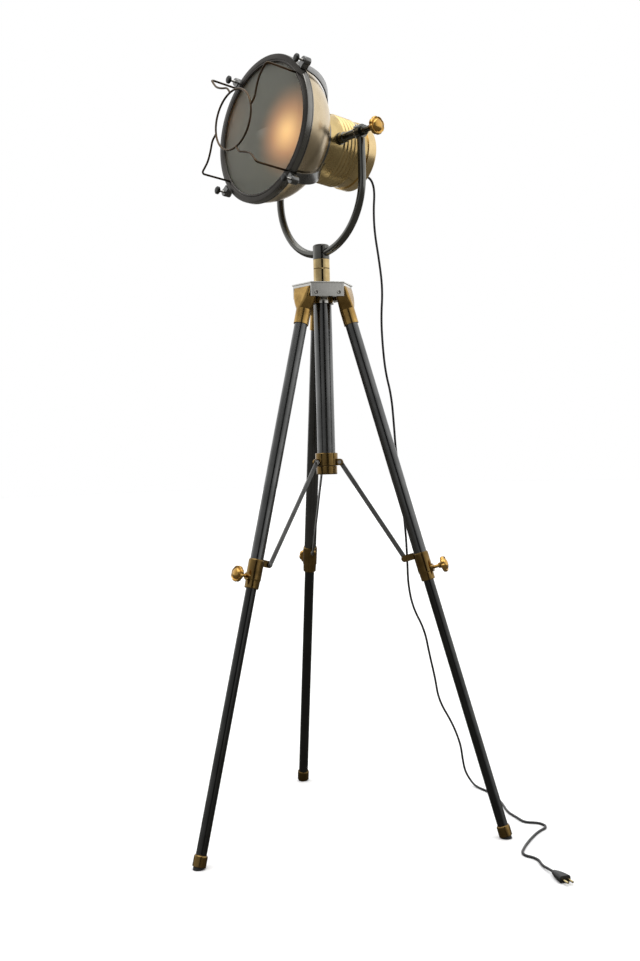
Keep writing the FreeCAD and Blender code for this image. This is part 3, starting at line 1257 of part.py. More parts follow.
# ---------------------------------------------------------------- build and check
build_hub()
build_post()
build_yoke()
for leg_name, leg_azimuth in LEGS:
    build_leg(leg_name, leg_azimuth)
build_collar()
for leg_name, leg_azimuth in LEGS:
    build_brace(leg_name, leg_azimuth)
build_bezel()
build_dome()
build_can()
build_trunnions()
build_lamp()
build_guard()
build_straps()
build_cord()
doc.recompute()

faults = [item.Name for item in doc.Objects if "Invalid" in item.State or "Error" in item.State]
for piece in NODES:
    if piece.Shape.isNull() or not piece.Shape.isValid() or not piece.Shape.Solids:
        faults.append(piece.Label)
if faults:
    raise RuntimeError("failed: " + ", ".join(faults))
for piece in NODES:
    piece.Shape.exportStep("parts/%s.step" % piece.Label)
print("%d nodes" % len(NODES))
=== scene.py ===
"""The looks of the tripod spotlight floor lamp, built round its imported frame. Metres, +Z up."""
import json
import math

import bmesh
import bpy
from mathutils import Matrix, Vector


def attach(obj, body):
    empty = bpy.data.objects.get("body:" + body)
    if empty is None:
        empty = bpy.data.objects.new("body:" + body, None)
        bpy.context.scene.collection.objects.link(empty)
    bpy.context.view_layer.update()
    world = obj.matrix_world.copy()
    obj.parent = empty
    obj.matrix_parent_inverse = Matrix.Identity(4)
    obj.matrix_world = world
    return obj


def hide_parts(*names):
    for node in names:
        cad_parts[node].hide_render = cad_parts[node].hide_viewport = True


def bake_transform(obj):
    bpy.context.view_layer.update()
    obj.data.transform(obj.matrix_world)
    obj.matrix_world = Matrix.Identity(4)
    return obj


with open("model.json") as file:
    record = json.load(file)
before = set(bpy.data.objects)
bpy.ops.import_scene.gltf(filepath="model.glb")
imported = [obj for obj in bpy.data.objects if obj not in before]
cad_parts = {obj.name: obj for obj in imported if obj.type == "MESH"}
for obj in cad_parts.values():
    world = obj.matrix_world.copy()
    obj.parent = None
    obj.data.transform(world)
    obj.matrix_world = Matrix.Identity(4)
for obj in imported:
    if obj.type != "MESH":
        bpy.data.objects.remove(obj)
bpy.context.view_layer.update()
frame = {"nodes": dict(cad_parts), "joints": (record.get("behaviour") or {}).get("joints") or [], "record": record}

LEGS = ("front", "right", "left")
CORNERS = ("upper_right", "upper_left", "lower_left", "lower_right")
JOINTS = {joint["name"]: joint for joint in frame["joints"]}
NODES = frame["nodes"]


# ---------------------------------------------------------------- places, read from the frame
def place_of(joint):
    return Vector(JOINTS[joint]["pos_m"])


def axis_of(joint):
    return Vector(JOINTS[joint]["axis"])


def frame_from(origin, x_axis, y_axis, z_axis):
    """A matrix that takes a piece's own axes to the row frame."""
    turn = Matrix((x_axis, y_axis, z_axis)).transposed()
    return Matrix.Translation(origin) @ turn.to_4x4()


COLUMN = place_of("pan")
AXIS_Y = COLUMN.y
HUB = Matrix.Translation((0.0, AXIS_Y, 0.0))

HEAD_SIDE = axis_of("tilt")
HEAD_AHEAD = axis_of("thumbscrew_upper_right_turn")
# the head's own frame: X towards the tilt knob, Y backwards, Z up
HEAD = frame_from(place_of("tilt"), HEAD_SIDE, -HEAD_AHEAD, HEAD_AHEAD.cross(HEAD_SIDE))
YOKE = frame_from((0.0, AXIS_Y, 0.0), HEAD_SIDE, Vector((0, 0, 1)).cross(HEAD_SIDE), (0, 0, 1))


def leg_frame(leg):
    """At a leg's pivot: X outwards, Y along the pivot pin, Z up along the leg."""
    along = axis_of("telescope_" + leg)
    pin = axis_of("leg_fold_" + leg)
    return frame_from(place_of("leg_fold_" + leg), pin.cross(along), pin, along)


def facing(matrix, direction):
    """A frame at the same place whose Z lies along one of the frame's own axes."""
    turns = {
        "x": Matrix.Rotation(math.pi / 2, 4, "Y"),
        "-x": Matrix.Rotation(-math.pi / 2, 4, "Y"),
        "y": Matrix.Rotation(-math.pi / 2, 4, "X"),
        "-y": Matrix.Rotation(math.pi / 2, 4, "X"),
        "z": Matrix.Identity(4),
    }
    return matrix @ turns[direction]


def moved(x=0.0, y=0.0, z=0.0):
    return Matrix.Translation((x, y, z))


def mm(*values):
    """Millimetres to metres."""
    return values[0] / 1000.0 if len(values) == 1 else tuple(value / 1000.0 for value in values)


# ---------------------------------------------------------------- camera
# fitted to the photograph: the camera stands in front of the lamp, turned from the front leg
VIEW_TURN = math.radians(47.46)
CAMERA_DISTANCE = 2.4012
CAMERA_HEIGHT = 0.767
CAMERA_YAW = -0.0064
CAMERA_PITCH = -0.0130
CAMERA_ROLL = -0.0269
FOCAL_PIXELS = 1129.92
IMAGE_HEIGHT = 961


def add_camera():
    turn = Matrix.Rotation(VIEW_TURN, 3, "Z")
    ahead = Vector((math.sin(CAMERA_YAW) * math.cos(CAMERA_PITCH),
                    math.cos(CAMERA_YAW) * math.cos(CAMERA_PITCH), math.sin(CAMERA_PITCH)))
    level = Vector((math.cos(CAMERA_YAW), -math.sin(CAMERA_YAW), 0.0))
    above = level.cross(ahead)
    side = level * math.cos(CAMERA_ROLL) + above * math.sin(CAMERA_ROLL)
    up = above * math.cos(CAMERA_ROLL) - level * math.sin(CAMERA_ROLL)
    spot = turn @ Vector((0.0, -CAMERA_DISTANCE, CAMERA_HEIGHT)) + Vector((0.0, AXIS_Y, 0.0))
    data = bpy.data.cameras.new("view")
    data.sensor_width = 36.0
    data.lens = FOCAL_PIXELS * data.sensor_width / IMAGE_HEIGHT
    camera = bpy.data.objects.new("view", data)
    camera.matrix_world = frame_from(spot, turn @ side, turn @ up, turn @ -ahead)
    bpy.context.scene.collection.objects.link(camera)
    bpy.context.scene.camera = camera


# ---------------------------------------------------------------- materials
class Shader:
    """A material's node tree, with short calls to add and join its nodes."""

    def __init__(self, name):
        self.material = bpy.data.materials.new(name)
        self.material.use_nodes = True
        self.tree = self.material.node_tree
        self.tree.nodes.clear()
        self.out = self.tree.nodes.new("ShaderNodeOutputMaterial")
        self.body = self.tree.nodes.new("ShaderNodeBsdfPrincipled")
        self.join(self.body.outputs[0], self.out.inputs["Surface"])

    def join(self, source, target):
        self.tree.links.new(source, target)

    def set(self, **values):
        """Sets sockets of the shader itself: underscores stand for spaces."""
        for name, value in values.items():
            self.body.inputs[name.replace("_", " ")].default_value = value
        return self

    def group(self, tree, **values):
        node = self.tree.nodes.new("ShaderNodeGroup")
        node.node_tree = tree
        for name, value in values.items():
            node.inputs[name.replace("_", " ")].default_value = value
        return node

    def bump(self, height, strength, distance):
        node = self.tree.nodes.new("ShaderNodeBump")
        node.inputs["Strength"].default_value = strength
        node.inputs["Distance"].default_value = distance
        self.join(height, node.inputs["Height"])
        self.join(node.outputs["Normal"], self.body.inputs["Normal"])


def new_group(name, sockets, results):
    """A shader node group with named sockets, and its two end nodes."""
    tree = bpy.data.node_groups.new(name, "ShaderNodeTree")
    for label, kind, value in sockets:
        socket = tree.interface.new_socket(label, in_out="INPUT", socket_type="NodeSocket" + kind)
        socket.default_value = value
    for label, kind in results:
        tree.interface.new_socket(label, in_out="OUTPUT", socket_type="NodeSocket" + kind)
    return tree, tree.nodes.new("NodeGroupInput"), tree.nodes.new("NodeGroupOutput")


def object_coordinates(tree):
    return tree.nodes.new("ShaderNodeTexCoord").outputs["Object"]


def noise(tree, vector, scale, detail=3.0, rough=0.55):
    node = tree.nodes.new("ShaderNodeTexNoise")
    node.inputs["Detail"].default_value = detail
    node.inputs["Roughness"].default_value = rough
    tree.links.new(vector, node.inputs["Vector"])
    if isinstance(scale, (int, float)):
        node.inputs["Scale"].default_value = scale
    else:
        tree.links.new(scale, node.inputs["Scale"])
    return node.outputs["Fac"]


def math_node(tree, kind, first, second=None, clamp=False):
    node = tree.nodes.new("ShaderNodeMath")
    node.operation = kind
    node.use_clamp = clamp
    for socket, value in zip(node.inputs, (first, second)):
        if value is None:
            continue
        if isinstance(value, (int, float)):
            socket.default_value = value
        else:
            tree.links.new(value, socket)
    return node.outputs[0]


def remap(tree, value, low, high, to_low=0.0, to_high=1.0):
    node = tree.nodes.new("ShaderNodeMapRange")
    for socket, amount in zip(node.inputs, (value, low, high, to_low, to_high)):
        if isinstance(amount, (int, float)):
            socket.default_value = amount
        else:
            tree.links.new(amount, socket)
    return node.outputs[0]


def mix_colour(tree, share, first, second):
    node = tree.nodes.new("ShaderNodeMix")
    node.data_type = "RGBA"
    for socket, value in ((node.inputs[0], share), (node.inputs[6], first), (node.inputs[7], second)):
        if isinstance(value, (int, float, tuple)):
            socket.default_value = value
        else:
            tree.links.new(value, socket)
    return node.outputs[2]


def metal_finish_group():
    """Plated or brushed metal: cloudy patina, brushing along one direction, fine scratches."""
    tree, start, end = new_group("metal finish", [
        ("Bright", "Color", (0.5, 0.5, 0.5, 1.0)),
        ("Dull", "Color", (0.3, 0.3, 0.3, 1.0)),
        ("Patina", "Float", 0.5),
        ("Patina Scale", "Float", 18.0),
        ("Roughness", "Float", 0.3),
        ("Spread", "Float", 0.12),
        ("Brush Along", "Vector", (1.0, 1.0, 0.05)),
        ("Brush Turn", "Vector", (0.0, 0.0, 0.0)),
        ("Brush Scale", "Float", 900.0),
        ("Brush Strength", "Float", 0.5),
    ], [("Color", "Color"), ("Roughness", "Float"), ("Height", "Float")])
    coordinates = object_coordinates(tree)
    turned = tree.nodes.new("ShaderNodeMapping")
    turned.vector_type = "TEXTURE"
    tree.links.new(coordinates, turned.inputs["Vector"])
    tree.links.new(start.outputs["Brush Turn"], turned.inputs["Rotation"])
    stretched = tree.nodes.new("ShaderNodeVectorMath")
    stretched.operation = "MULTIPLY"
    tree.links.new(turned.outputs[0], stretched.inputs[0])
    tree.links.new(start.outputs["Brush Along"], stretched.inputs[1])
    brush = noise(tree, stretched.outputs[0], start.outputs["Brush Scale"], 4.0, 0.6)
    cloud = noise(tree, coordinates, start.outputs["Patina Scale"], 5.0, 0.6)
    speck = noise(tree, coordinates, 420.0, 2.0, 0.5)
    age = remap(tree, cloud, 0.36, 0.66)
    age = math_node(tree, "MULTIPLY", age, start.outputs["Patina"])
    streak = remap(tree, brush, 0.3, 0.7, -0.5, 0.5)
    streak = math_node(tree, "MULTIPLY", streak, start.outputs["Brush Strength"])
    grime = remap(tree, speck, 0.62, 0.8, 0.0, 0.25)
    share = math_node(tree, "ADD", age, math_node(tree, "MULTIPLY", streak, 0.35))
    share = math_node(tree, "ADD", share, grime, clamp=True)
    tree.links.new(mix_colour(tree, share, start.outputs["Bright"], start.outputs["Dull"]),
                   end.inputs["Color"])
    rough = math_node(tree, "MULTIPLY_ADD", share, start.outputs["Spread"])
    tree.links.new(start.outputs["Roughness"], rough.node.inputs[2])
    rough = math_node(tree, "ADD", rough, math_node(tree, "MULTIPLY", streak, 0.08), clamp=True)
    tree.links.new(rough, end.inputs["Roughness"])
    tree.links.new(streak, end.inputs["Height"])
    return tree


def metal(name, bright, dull, roughness, patina=0.5, spread=0.12, along=(1.0, 1.0, 0.05),
          turn=(0.0, 0.0, 0.0), brush=0.5, scale=900.0, patina_scale=18.0, coat=0.0, metallic=1.0):
    shader = Shader(name)
    finish = shader.group(METAL, Bright=(*bright, 1.0), Dull=(*dull, 1.0), Roughness=roughness,
                          Patina=patina, Spread=spread, Brush_Along=along, Brush_Turn=turn,
                          Brush_Strength=brush, Brush_Scale=scale, Patina_Scale=patina_scale)
    shader.join(finish.outputs["Color"], shader.body.inputs["Base Color"])
    shader.join(finish.outputs["Roughness"], shader.body.inputs["Roughness"])
    shader.bump(finish.outputs["Height"], 0.12, 0.0002)
    shader.set(Metallic=metallic, Coat_Weight=coat)
    return shader.material


def grain_group():
    """Moulded plastic or rubber: a fine grain, and cloudy dust that is lighter and rougher."""
    tree, start, end = new_group("moulded grain", [
        ("Color", "Color", (0.02, 0.02, 0.02, 1.0)),
        ("Dust", "Color", (0.1, 0.1, 0.1, 1.0)),
        ("Grain Scale", "Float", 1500.0),
        ("Roughness", "Float", 0.5),
    ], [("Color", "Color"), ("Roughness", "Float"), ("Height", "Float")])
    coordinates = object_coordinates(tree)
    grain = noise(tree, coordinates, start.outputs["Grain Scale"], 2.0, 0.5)
    cloud = noise(tree, coordinates, 35.0, 4.0, 0.6)
    dust = remap(tree, cloud, 0.5, 0.75, 0.0, 0.5)
    tree.links.new(mix_colour(tree, dust, start.outputs["Color"], start.outputs["Dust"]),
                   end.inputs["Color"])
    rough = math_node(tree, "MULTIPLY_ADD", dust, 0.25)
    tree.links.new(start.outputs["Roughness"], rough.node.inputs[2])
    tree.links.new(rough, end.inputs["Roughness"])
    tree.links.new(grain, end.inputs["Height"])
    return tree


def moulded(name, colour, dust, roughness, grain=1500.0, bump=0.15):
    shader = Shader(name)
    finish = shader.group(GRAIN, Color=(*colour, 1.0), Dust=(*dust, 1.0), Roughness=roughness,
                          Grain_Scale=grain)
    shader.join(finish.outputs["Color"], shader.body.inputs["Base Color"])
    shader.join(finish.outputs["Roughness"], shader.body.inputs["Roughness"])
    shader.bump(finish.outputs["Height"], bump, 0.0002)
    return shader.material


# centre and reach of the painted glow: emission painted into the glass, standing in for the bulb's light through
# it
PAINTED_GLOW_PLACE = mm(80.0, -138.0, -22.0)
PAINTED_GLOW_REACH = 0.098


def frosted_glass():
    """Acid-etched glass with a painted glow: emission painted round the place where the bulb stands behind it."""
    shader = Shader("frosted glass")
    tree = shader.tree
    coordinates = object_coordinates(tree)
    fine = noise(tree, coordinates, 700.0, 3.0, 0.6)
    cloud = noise(tree, coordinates, 14.0, 3.0, 0.5)
    shader.join(remap(tree, cloud, 0.3, 0.7, 0.46, 0.54), shader.body.inputs["Roughness"])
    shader.join(mix_colour(tree, cloud, (0.34, 0.36, 0.30, 1.0), (0.42, 0.44, 0.37, 1.0)),
                shader.body.inputs["Base Color"])
    # painted glow: the glass emits a warm light that fades away from the bulb's place
    centre = tree.nodes.new("ShaderNodeVectorMath")
    centre.operation = "DISTANCE"
    tree.links.new(coordinates, centre.inputs[0])
    centre.inputs[1].default_value = HEAD @ Vector(PAINTED_GLOW_PLACE)
    near = remap(tree, centre.outputs["Value"], PAINTED_GLOW_REACH, 0.0)
    near = math_node(tree, "POWER", near, 1.6)
    glow = tree.nodes.new("ShaderNodeValToRGB")
    for place, colour in ((0.0, (0, 0, 0, 1)), (1.0, (0.95, 0.58, 0.22, 1.0))):
        glow.color_ramp.elements[int(place)].color = colour
    warm = glow.color_ramp.elements.new(0.35)
    warm.color = (0.34, 0.14, 0.05, 1.0)
    tree.links.new(near, glow.inputs["Fac"])
    shader.join(glow.outputs["Color"], shader.body.inputs["Emission Color"])
    shader.bump(fine, 0.1, 0.0002)
    shader.set(Transmission_Weight=0.80, IOR=1.45, Emission_Strength=0.55)
    return shader.material


def glowing_bulb():
    """A lit pearl bulb."""
    shader = Shader("lit bulb")
    tree = shader.tree
    cloud = noise(tree, object_coordinates(tree), 60.0, 2.0, 0.5)
    shader.join(mix_colour(tree, cloud, (1.0, 0.40, 0.12, 1.0), (1.0, 0.50, 0.20, 1.0)),
                shader.body.inputs["Emission Color"])
    shader.set(Emission_Strength=1.6, Roughness=0.35, Base_Color=(0.9, 0.85, 0.75, 1.0))
    return shader.material


def leg_turn(leg):
    return leg_frame(leg).to_euler("XYZ")


def make_materials():
    """Every finish of the lamp, by the name that the pieces use."""
    finishes = {
        "hub nickel": metal("hub nickel", (0.70, 0.69, 0.65), (0.44, 0.43, 0.40), 0.14,
                            patina=0.4, spread=0.06),
        "yoke nickel": metal("yoke nickel", (0.16, 0.16, 0.148), (0.07, 0.07, 0.063), 0.18,
                             patina=0.5, spread=0.08),
        "bezel nickel": metal("bezel nickel", (0.25, 0.245, 0.23), (0.12, 0.117, 0.108), 0.22,
                              patina=0.5),
        # a much darker copy of the bezel nickel for the bezel's front faces: a painted dark reflection
        "bezel front painted dark reflection": metal("bezel front painted dark reflection", (0.052, 0.048, 0.043), (0.022, 0.02, 0.018), 0.22,
                            patina=0.5),
        "column nickel": metal("column nickel", (0.155, 0.157, 0.155), (0.075, 0.076, 0.075), 0.19,
                               patina=0.4),
        "strap steel": metal("strap steel", (0.22, 0.22, 0.215), (0.10, 0.10, 0.097), 0.22,
                             patina=0.5),
        "antique brass": metal("antique brass", (0.52, 0.33, 0.105), (0.16, 0.09, 0.026), 0.17,
                               patina=0.75, spread=0.10, brush=0.3, patina_scale=30.0),
        "dark brass": metal("dark brass", (0.28, 0.18, 0.06), (0.085, 0.05, 0.016), 0.16,
                            patina=0.75, spread=0.10, brush=0.3, patina_scale=30.0),
        "socket brass": metal("socket brass", (0.60, 0.47, 0.24), (0.26, 0.16, 0.05), 0.12,
                              patina=0.6, spread=0.06, brush=0.3, patina_scale=30.0),
        "can brass": metal("can brass", (0.70, 0.53, 0.25), (0.40, 0.27, 0.10), 0.22,
                           patina=0.6, brush=0.4),
        "cap brass": metal("cap brass", (0.82, 0.63, 0.34), (0.52, 0.37, 0.17), 0.24,
                           patina=0.5, brush=0.4),
        "knob brass": metal("knob brass", (0.62, 0.37, 0.10), (0.32, 0.17, 0.04), 0.20,
                            patina=0.5, brush=0.2),
        # a darker copy of the knob brass: painted shade for the knob's hollow back and dished ring
        "knob hollow painted shade": metal("knob hollow painted shade", (0.13, 0.06, 0.022), (0.06, 0.028, 0.011), 0.26,
                             patina=0.6, brush=0.2),
        "champagne dome": metal("champagne dome", (0.64, 0.53, 0.365), (0.42, 0.33, 0.20), 0.24,
                                patina=0.6, brush=0.3, patina_scale=9.0),
        "bronze wire": metal("bronze wire", (0.085, 0.06, 0.036), (0.03, 0.021, 0.014), 0.26,
                             patina=0.6, brush=0.2),
        "dark screws": metal("dark screws", (0.06, 0.06, 0.058), (0.025, 0.025, 0.024), 0.30,
                             patina=0.4, brush=0.2),
        "plain steel": metal("plain steel", (0.50, 0.49, 0.46), (0.26, 0.25, 0.23), 0.22,
                             patina=0.5, brush=0.3),
        "brace steel": metal("brace steel", (0.19, 0.19, 0.185), (0.10, 0.10, 0.098), 0.34,
                             patina=0.5, brush=0.9),
        "holder plastic": moulded("holder plastic", (0.03, 0.028, 0.025), (0.08, 0.07, 0.06), 0.4),
        "foot rubber": moulded("foot rubber", (0.02, 0.02, 0.02), (0.09, 0.085, 0.08), 0.75),
        "cord": moulded("cord", (0.012, 0.012, 0.012), (0.04, 0.04, 0.04), 0.42, grain=2500.0),
        "plug": moulded("plug", (0.008, 0.008, 0.008), (0.025, 0.025, 0.025), 0.5, grain=1800.0),
        "pin brass": metal("pin brass", (0.75, 0.62, 0.32), (0.5, 0.38, 0.16), 0.22, patina=0.3),
        "frosted glass": frosted_glass(),
        "lit bulb": glowing_bulb(),
    }
    for leg in LEGS:
        turn = leg_turn(leg)
        finishes["upper leg " + leg] = metal(
            "upper leg " + leg, (0.145, 0.147, 0.145), (0.07, 0.071, 0.07), 0.19, turn=turn)
        # the lower tubes take a much darker copy of the leg nickel: painted shade near the floor
        finishes["shaded lower leg " + leg] = metal(
            "shaded lower leg " + leg, (0.065, 0.066, 0.064), (0.03, 0.03, 0.029), 0.20, turn=turn)
    return finishes


# ---------------------------------------------------------------- meshes
def new_object(name, mesh, finish=None):
    piece = bpy.data.objects.new(name, mesh)
    bpy.context.scene.collection.objects.link(piece)
    if finish:
        mesh.materials.clear()
        mesh.materials.append(FINISHES[finish])
    return piece


def shade(mesh, sharp_angle=35.0):
    """Smooth faces, with the edges sharper than the angle kept crisp."""
    made = bmesh.new()
    made.from_mesh(mesh)
    for face in made.faces:
        face.smooth = True
    for edge in made.edges:
        edge.smooth = not (edge.is_manifold and edge.calc_face_angle(0.0) > math.radians(sharp_angle))
    made.to_mesh(mesh)
    made.free()
    return mesh


def apply_modifiers(piece):
    """Turns a piece with modifiers into a plain mesh."""
    bpy.context.view_layer.update()
    graph = bpy.context.evaluated_depsgraph_get()
    mesh = bpy.data.meshes.new_from_object(piece.evaluated_get(graph))
    piece.modifiers.clear()
    piece.data = mesh
    return piece


def lathe(name, profile, matrix, finish, segments=64, sharp_angle=35.0):
    """A closed or tube-like piece turned about its Z axis from (radius, height) points."""
    made = bmesh.new()
    closed = profile[0][0] > 1e-6 or profile[-1][0] > 1e-6
    rings = []
    for radius, height in profile:
        if radius < 1e-6:
            rings.append([made.verts.new((0.0, 0.0, height))])
            continue
        rings.append([made.verts.new((radius * math.cos(math.tau * k / segments),
                                      radius * math.sin(math.tau * k / segments), height))
                      for k in range(segments)])
    pairs = list(zip(rings, rings[1:]))
    if closed:
        pairs.append((rings[-1], rings[0]))
    for low, high in pairs:
        for k in range(segments):
            after = (k + 1) % segments
            if len(low) == 1 and len(high) == 1:
                break
            if len(low) == 1:
                made.faces.new((low[0], high[after], high[k]))
            elif len(high) == 1:
                made.faces.new((low[k], low[after], high[0]))
            else:
                made.faces.new((low[k], low[after], high[after], high[k]))
    bmesh.ops.recalc_face_normals(made, faces=made.faces)
    mesh = bpy.data.meshes.new(name)
    made.to_mesh(mesh)
    made.free()
    shade(mesh, sharp_angle)
    mesh.transform(matrix)
    if matrix.to_3x3().determinant() < 0.0:
        mesh.flip_normals()
    return new_object(name, mesh, finish)


def paint_faces(piece, finish, towards, least):
    """Gives another finish to the faces that look one way; the bezel uses it for a painted dark reflection on its
    front.
    """
    piece.data.materials.append(FINISHES[finish])
    last = len(piece.data.materials) - 1
    for face in piece.data.polygons:
        if face.normal.dot(towards) > least:
            face.material_index = last


def rounded(profile, radius, steps=3):
    """Cuts each corner of a profile with a small arc. Points on the axis stay."""
    result = []
    count = len(profile)
    for index, point in enumerate(profile):
        before = Vector(profile[index - 1])
        corner = Vector(point)
        after = Vector(profile[(index + 1) % count])
        inward = before - corner
        onward = after - corner
        if point[0] < 1e-6 or inward.length < 1e-7 or onward.length < 1e-7:
            result.append(tuple(point))
            continue
        angle = inward.angle(onward)
        if angle > math.radians(165.0):
            result.append(tuple(point))
            continue
        trim = min(radius / math.tan(angle / 2.0), inward.length * 0.45, onward.length * 0.45)
        first = corner + inward.normalized() * trim
        last = corner + onward.normalized() * trim
        for step in range(steps + 1):
            share = step / steps
            spot = first.lerp(corner, share).lerp(corner.lerp(last, share), share)
            result.append((spot.x, spot.y))
    return result


def smooth_copy(node, finish, bevel, sharp_angle=32.0):
    """A merged, smoothly shaded copy of a node's mesh, with its sharp edges eased."""
    mesh = NODES[node].data.copy()
    made = bmesh.new()
    made.from_mesh(mesh)
    bmesh.ops.remove_doubles(made, verts=made.verts, dist=1e-6)
    bmesh.ops.dissolve_limit(made, angle_limit=math.radians(0.5), verts=made.verts, edges=made.edges)
    made.to_mesh(mesh)
    made.free()
    for face in mesh.polygons:
        face.use_smooth = True
    piece = new_object(node + "_finished", mesh, finish)
    ease = piece.modifiers.new("ease", "BEVEL")
    ease.width = bevel
    ease.segments = 2
    ease.limit_method = "ANGLE"
    ease.angle_limit = math.radians(sharp_angle)
    piece.modifiers.new("flat faces stay flat", "WEIGHTED_NORMAL")
    return apply_modifiers(piece)


BODY_OF = {node: body for body, nodes in frame["record"]["behaviour"]["bodies"].items()
           for node in nodes}
SLOT_OF = {row["node"]: row["material_slot"] for row in frame["record"]["subparts"]}


def stand_in(piece, *nodes):
    """The piece rides on its nodes' body and hides them."""
    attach(piece, BODY_OF[nodes[0]])
    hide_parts(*nodes)
    return piece


# ---------------------------------------------------------------- cord
# the route that the solid tube follows, in millimetres
CORD_DIAMETER = 0.005
GLAND_TIP = HEAD @ Vector(mm(0.0, 127.0, -30.0))
CORD_UPPER = [(6, 246, 1385), (3, 252, 1364), (0, 251, 1331), (1, 251, 1281), (4, 260, 1220)]
CORD_LOWER = [
    (5, 268, 1156), (-2, 268, 1094), (-4, 272, 1036), (-5, 280, 974), (-1, 293, 920),
    (-4, 302, 856), (-7, 309, 796), (-8, 322, 730), (-11, 332, 666), (-13, 341, 606),
    (-19, 350, 546), (-25, 357, 488), (-24, 370, 434), (-13, 396, 380), (-12, 409, 322),
    (-10, 424, 266), (-12, 437, 210), (2, 468, 152), (8, 488, 100), (5, 497, 62),
    (6, 504, 32), (17, 512, 9), (40, 503, 2.6), (78, 494, 2.6), (122, 474, 2.6),
    (168, 440, 2.6), (214, 400, 2.6), (252, 384, 2.6), (284, 368, 2.6), (308, 388, 2.6),
    (337, 378, 2.6), (341, 340, 2.6), (358, 292, 2.6), (378, 246, 2.6), (401, 206, 2.6),
    (436, 212, 2.6), (466, 186, 2.6),
]
PLUG_START = Vector(mm(508, 164, 6.8))
PLUG_HEADING = Vector((0.922, -0.388, 0.0)).normalized()


def route_line(name, points):
    """The points that a smooth spline through a given route follows."""
    curve = bpy.data.curves.new(name, "CURVE")
    curve.dimensions = "3D"
    curve.resolution_u = 12
    spline = curve.splines.new("NURBS")
    spline.points.add(len(points) - 1)
    for spot, point in zip(spline.points, points):
        spot.co = (*point, 1.0)
    spline.order_u = 3
    spline.use_endpoint_u = True
    route = bpy.data.objects.new(name, curve)
    bpy.context.scene.collection.objects.link(route)
    bpy.context.view_layer.update()
    graph = bpy.context.evaluated_depsgraph_get()
    mesh = bpy.data.meshes.new_from_object(route.evaluated_get(graph))
    line = [vertex.co.copy() for vertex in mesh.vertices]
    bpy.data.objects.remove(route)
    return line


def sweep_tree():
    """Geometry Nodes: a round bar along a line of edges."""
    tree = bpy.data.node_groups.new("round bar along a path", "GeometryNodeTree")
    face = tree.interface
    face.new_socket("Path", in_out="INPUT", socket_type="NodeSocketGeometry")
    radius = face.new_socket("Radius", in_out="INPUT", socket_type="NodeSocketFloat")
    radius.default_value = 0.0025
    sides = face.new_socket("Sides", in_out="INPUT", socket_type="NodeSocketInt")
    sides.default_value = 16
    finish = face.new_socket("Finish", in_out="INPUT", socket_type="NodeSocketMaterial")
    face.new_socket("Bar", in_out="OUTPUT", socket_type="NodeSocketGeometry")
    start = tree.nodes.new("NodeGroupInput")
    end = tree.nodes.new("NodeGroupOutput")
    curve = tree.nodes.new("GeometryNodeMeshToCurve")
    circle = tree.nodes.new("GeometryNodeCurvePrimitiveCircle")
    bar = tree.nodes.new("GeometryNodeCurveToMesh")
    bar.inputs["Fill Caps"].default_value = True
    weld = tree.nodes.new("GeometryNodeMergeByDistance")
    weld.inputs["Distance"].default_value = 1e-6
    smooth = tree.nodes.new("GeometryNodeSetShadeSmooth")
    real = tree.nodes.new("GeometryNodeRealizeInstances")
    paint = tree.nodes.new("GeometryNodeSetMaterial")
    link = tree.links.new
    link(start.outputs["Path"], curve.inputs["Mesh"])
    link(start.outputs["Sides"], circle.inputs["Resolution"])
    link(start.outputs["Radius"], circle.inputs["Radius"])
    link(curve.outputs["Curve"], bar.inputs["Curve"])
    link(circle.outputs["Curve"], bar.inputs["Profile Curve"])
    link(bar.outputs["Mesh"], weld.inputs["Geometry"])
    link(weld.outputs["Geometry"], smooth.inputs["Geometry"])
    link(smooth.outputs["Geometry"], real.inputs["Geometry"])
    link(real.outputs["Geometry"], paint.inputs["Geometry"])
    link(start.outputs["Finish"], paint.inputs["Material"])
    link(paint.outputs["Geometry"], end.inputs["Bar"])
    return tree


def path_mesh(name, lines, closed=False):
    """A mesh of edges only, one chain for each line."""
    spots = []
    edges = []
    for line in lines:
        first = len(spots)
        spots += [tuple(spot) for spot in line]
        edges += [(first + k, first + k + 1) for k in range(len(line) - 1)]
        if closed:
            edges.append((len(spots) - 1, first))
    mesh = bpy.data.meshes.new(name)
    mesh.from_pydata(spots, edges, [])
    return mesh


def with_tree(piece, tree, **values):
    """Runs a Geometry Nodes tree on a piece and keeps its plain mesh."""
    modifier = piece.modifiers.new("make", "NODES")
    modifier.node_group = tree
    sockets = {item.name: item.identifier for item in tree.interface.items_tree
               if item.in_out == "INPUT"}
    for name, value in values.items():
        modifier[sockets[name.replace("_", " ")]] = value
    piece.update_tag()
    apply_modifiers(piece)
    return piece


def round_bar(name, lines, radius, finish, sides=16, closed=False):
    piece = new_object(name, path_mesh(name, lines, closed))
    with_tree(piece, SWEEP, Radius=radius, Sides=sides, Finish=FINISHES[finish])
    return piece


def hang_cord():
    """The cord from the gland to the plug, in two pieces that share one line."""
    upper_points = [GLAND_TIP, GLAND_TIP - HEAD_AHEAD * 0.019]
    upper_points += [Vector(mm(*spot)) for spot in CORD_UPPER]
    lower_points = [Vector(mm(*spot)) for spot in CORD_LOWER]
    lower_points += [PLUG_START - PLUG_HEADING * 0.018, PLUG_START]
    parting = (upper_points[-1] + lower_points[0]) / 2.0
    upper = route_line("cord_upper_route", upper_points + [parting])
    lower = route_line("cord_lower_route", [parting] + lower_points)
    plug_pieces = dress_plug()
    upper_cord = round_bar("cord_upper", [upper], CORD_DIAMETER / 2.0, "cord")
    lower_cord = round_bar("cord_lower", [lower], CORD_DIAMETER / 2.0, "cord")
    gland = dress_gland()
    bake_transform(upper_cord)
    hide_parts("cord_head", "cord_yoke")
    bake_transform(lower_cord)
    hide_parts("cord_main")


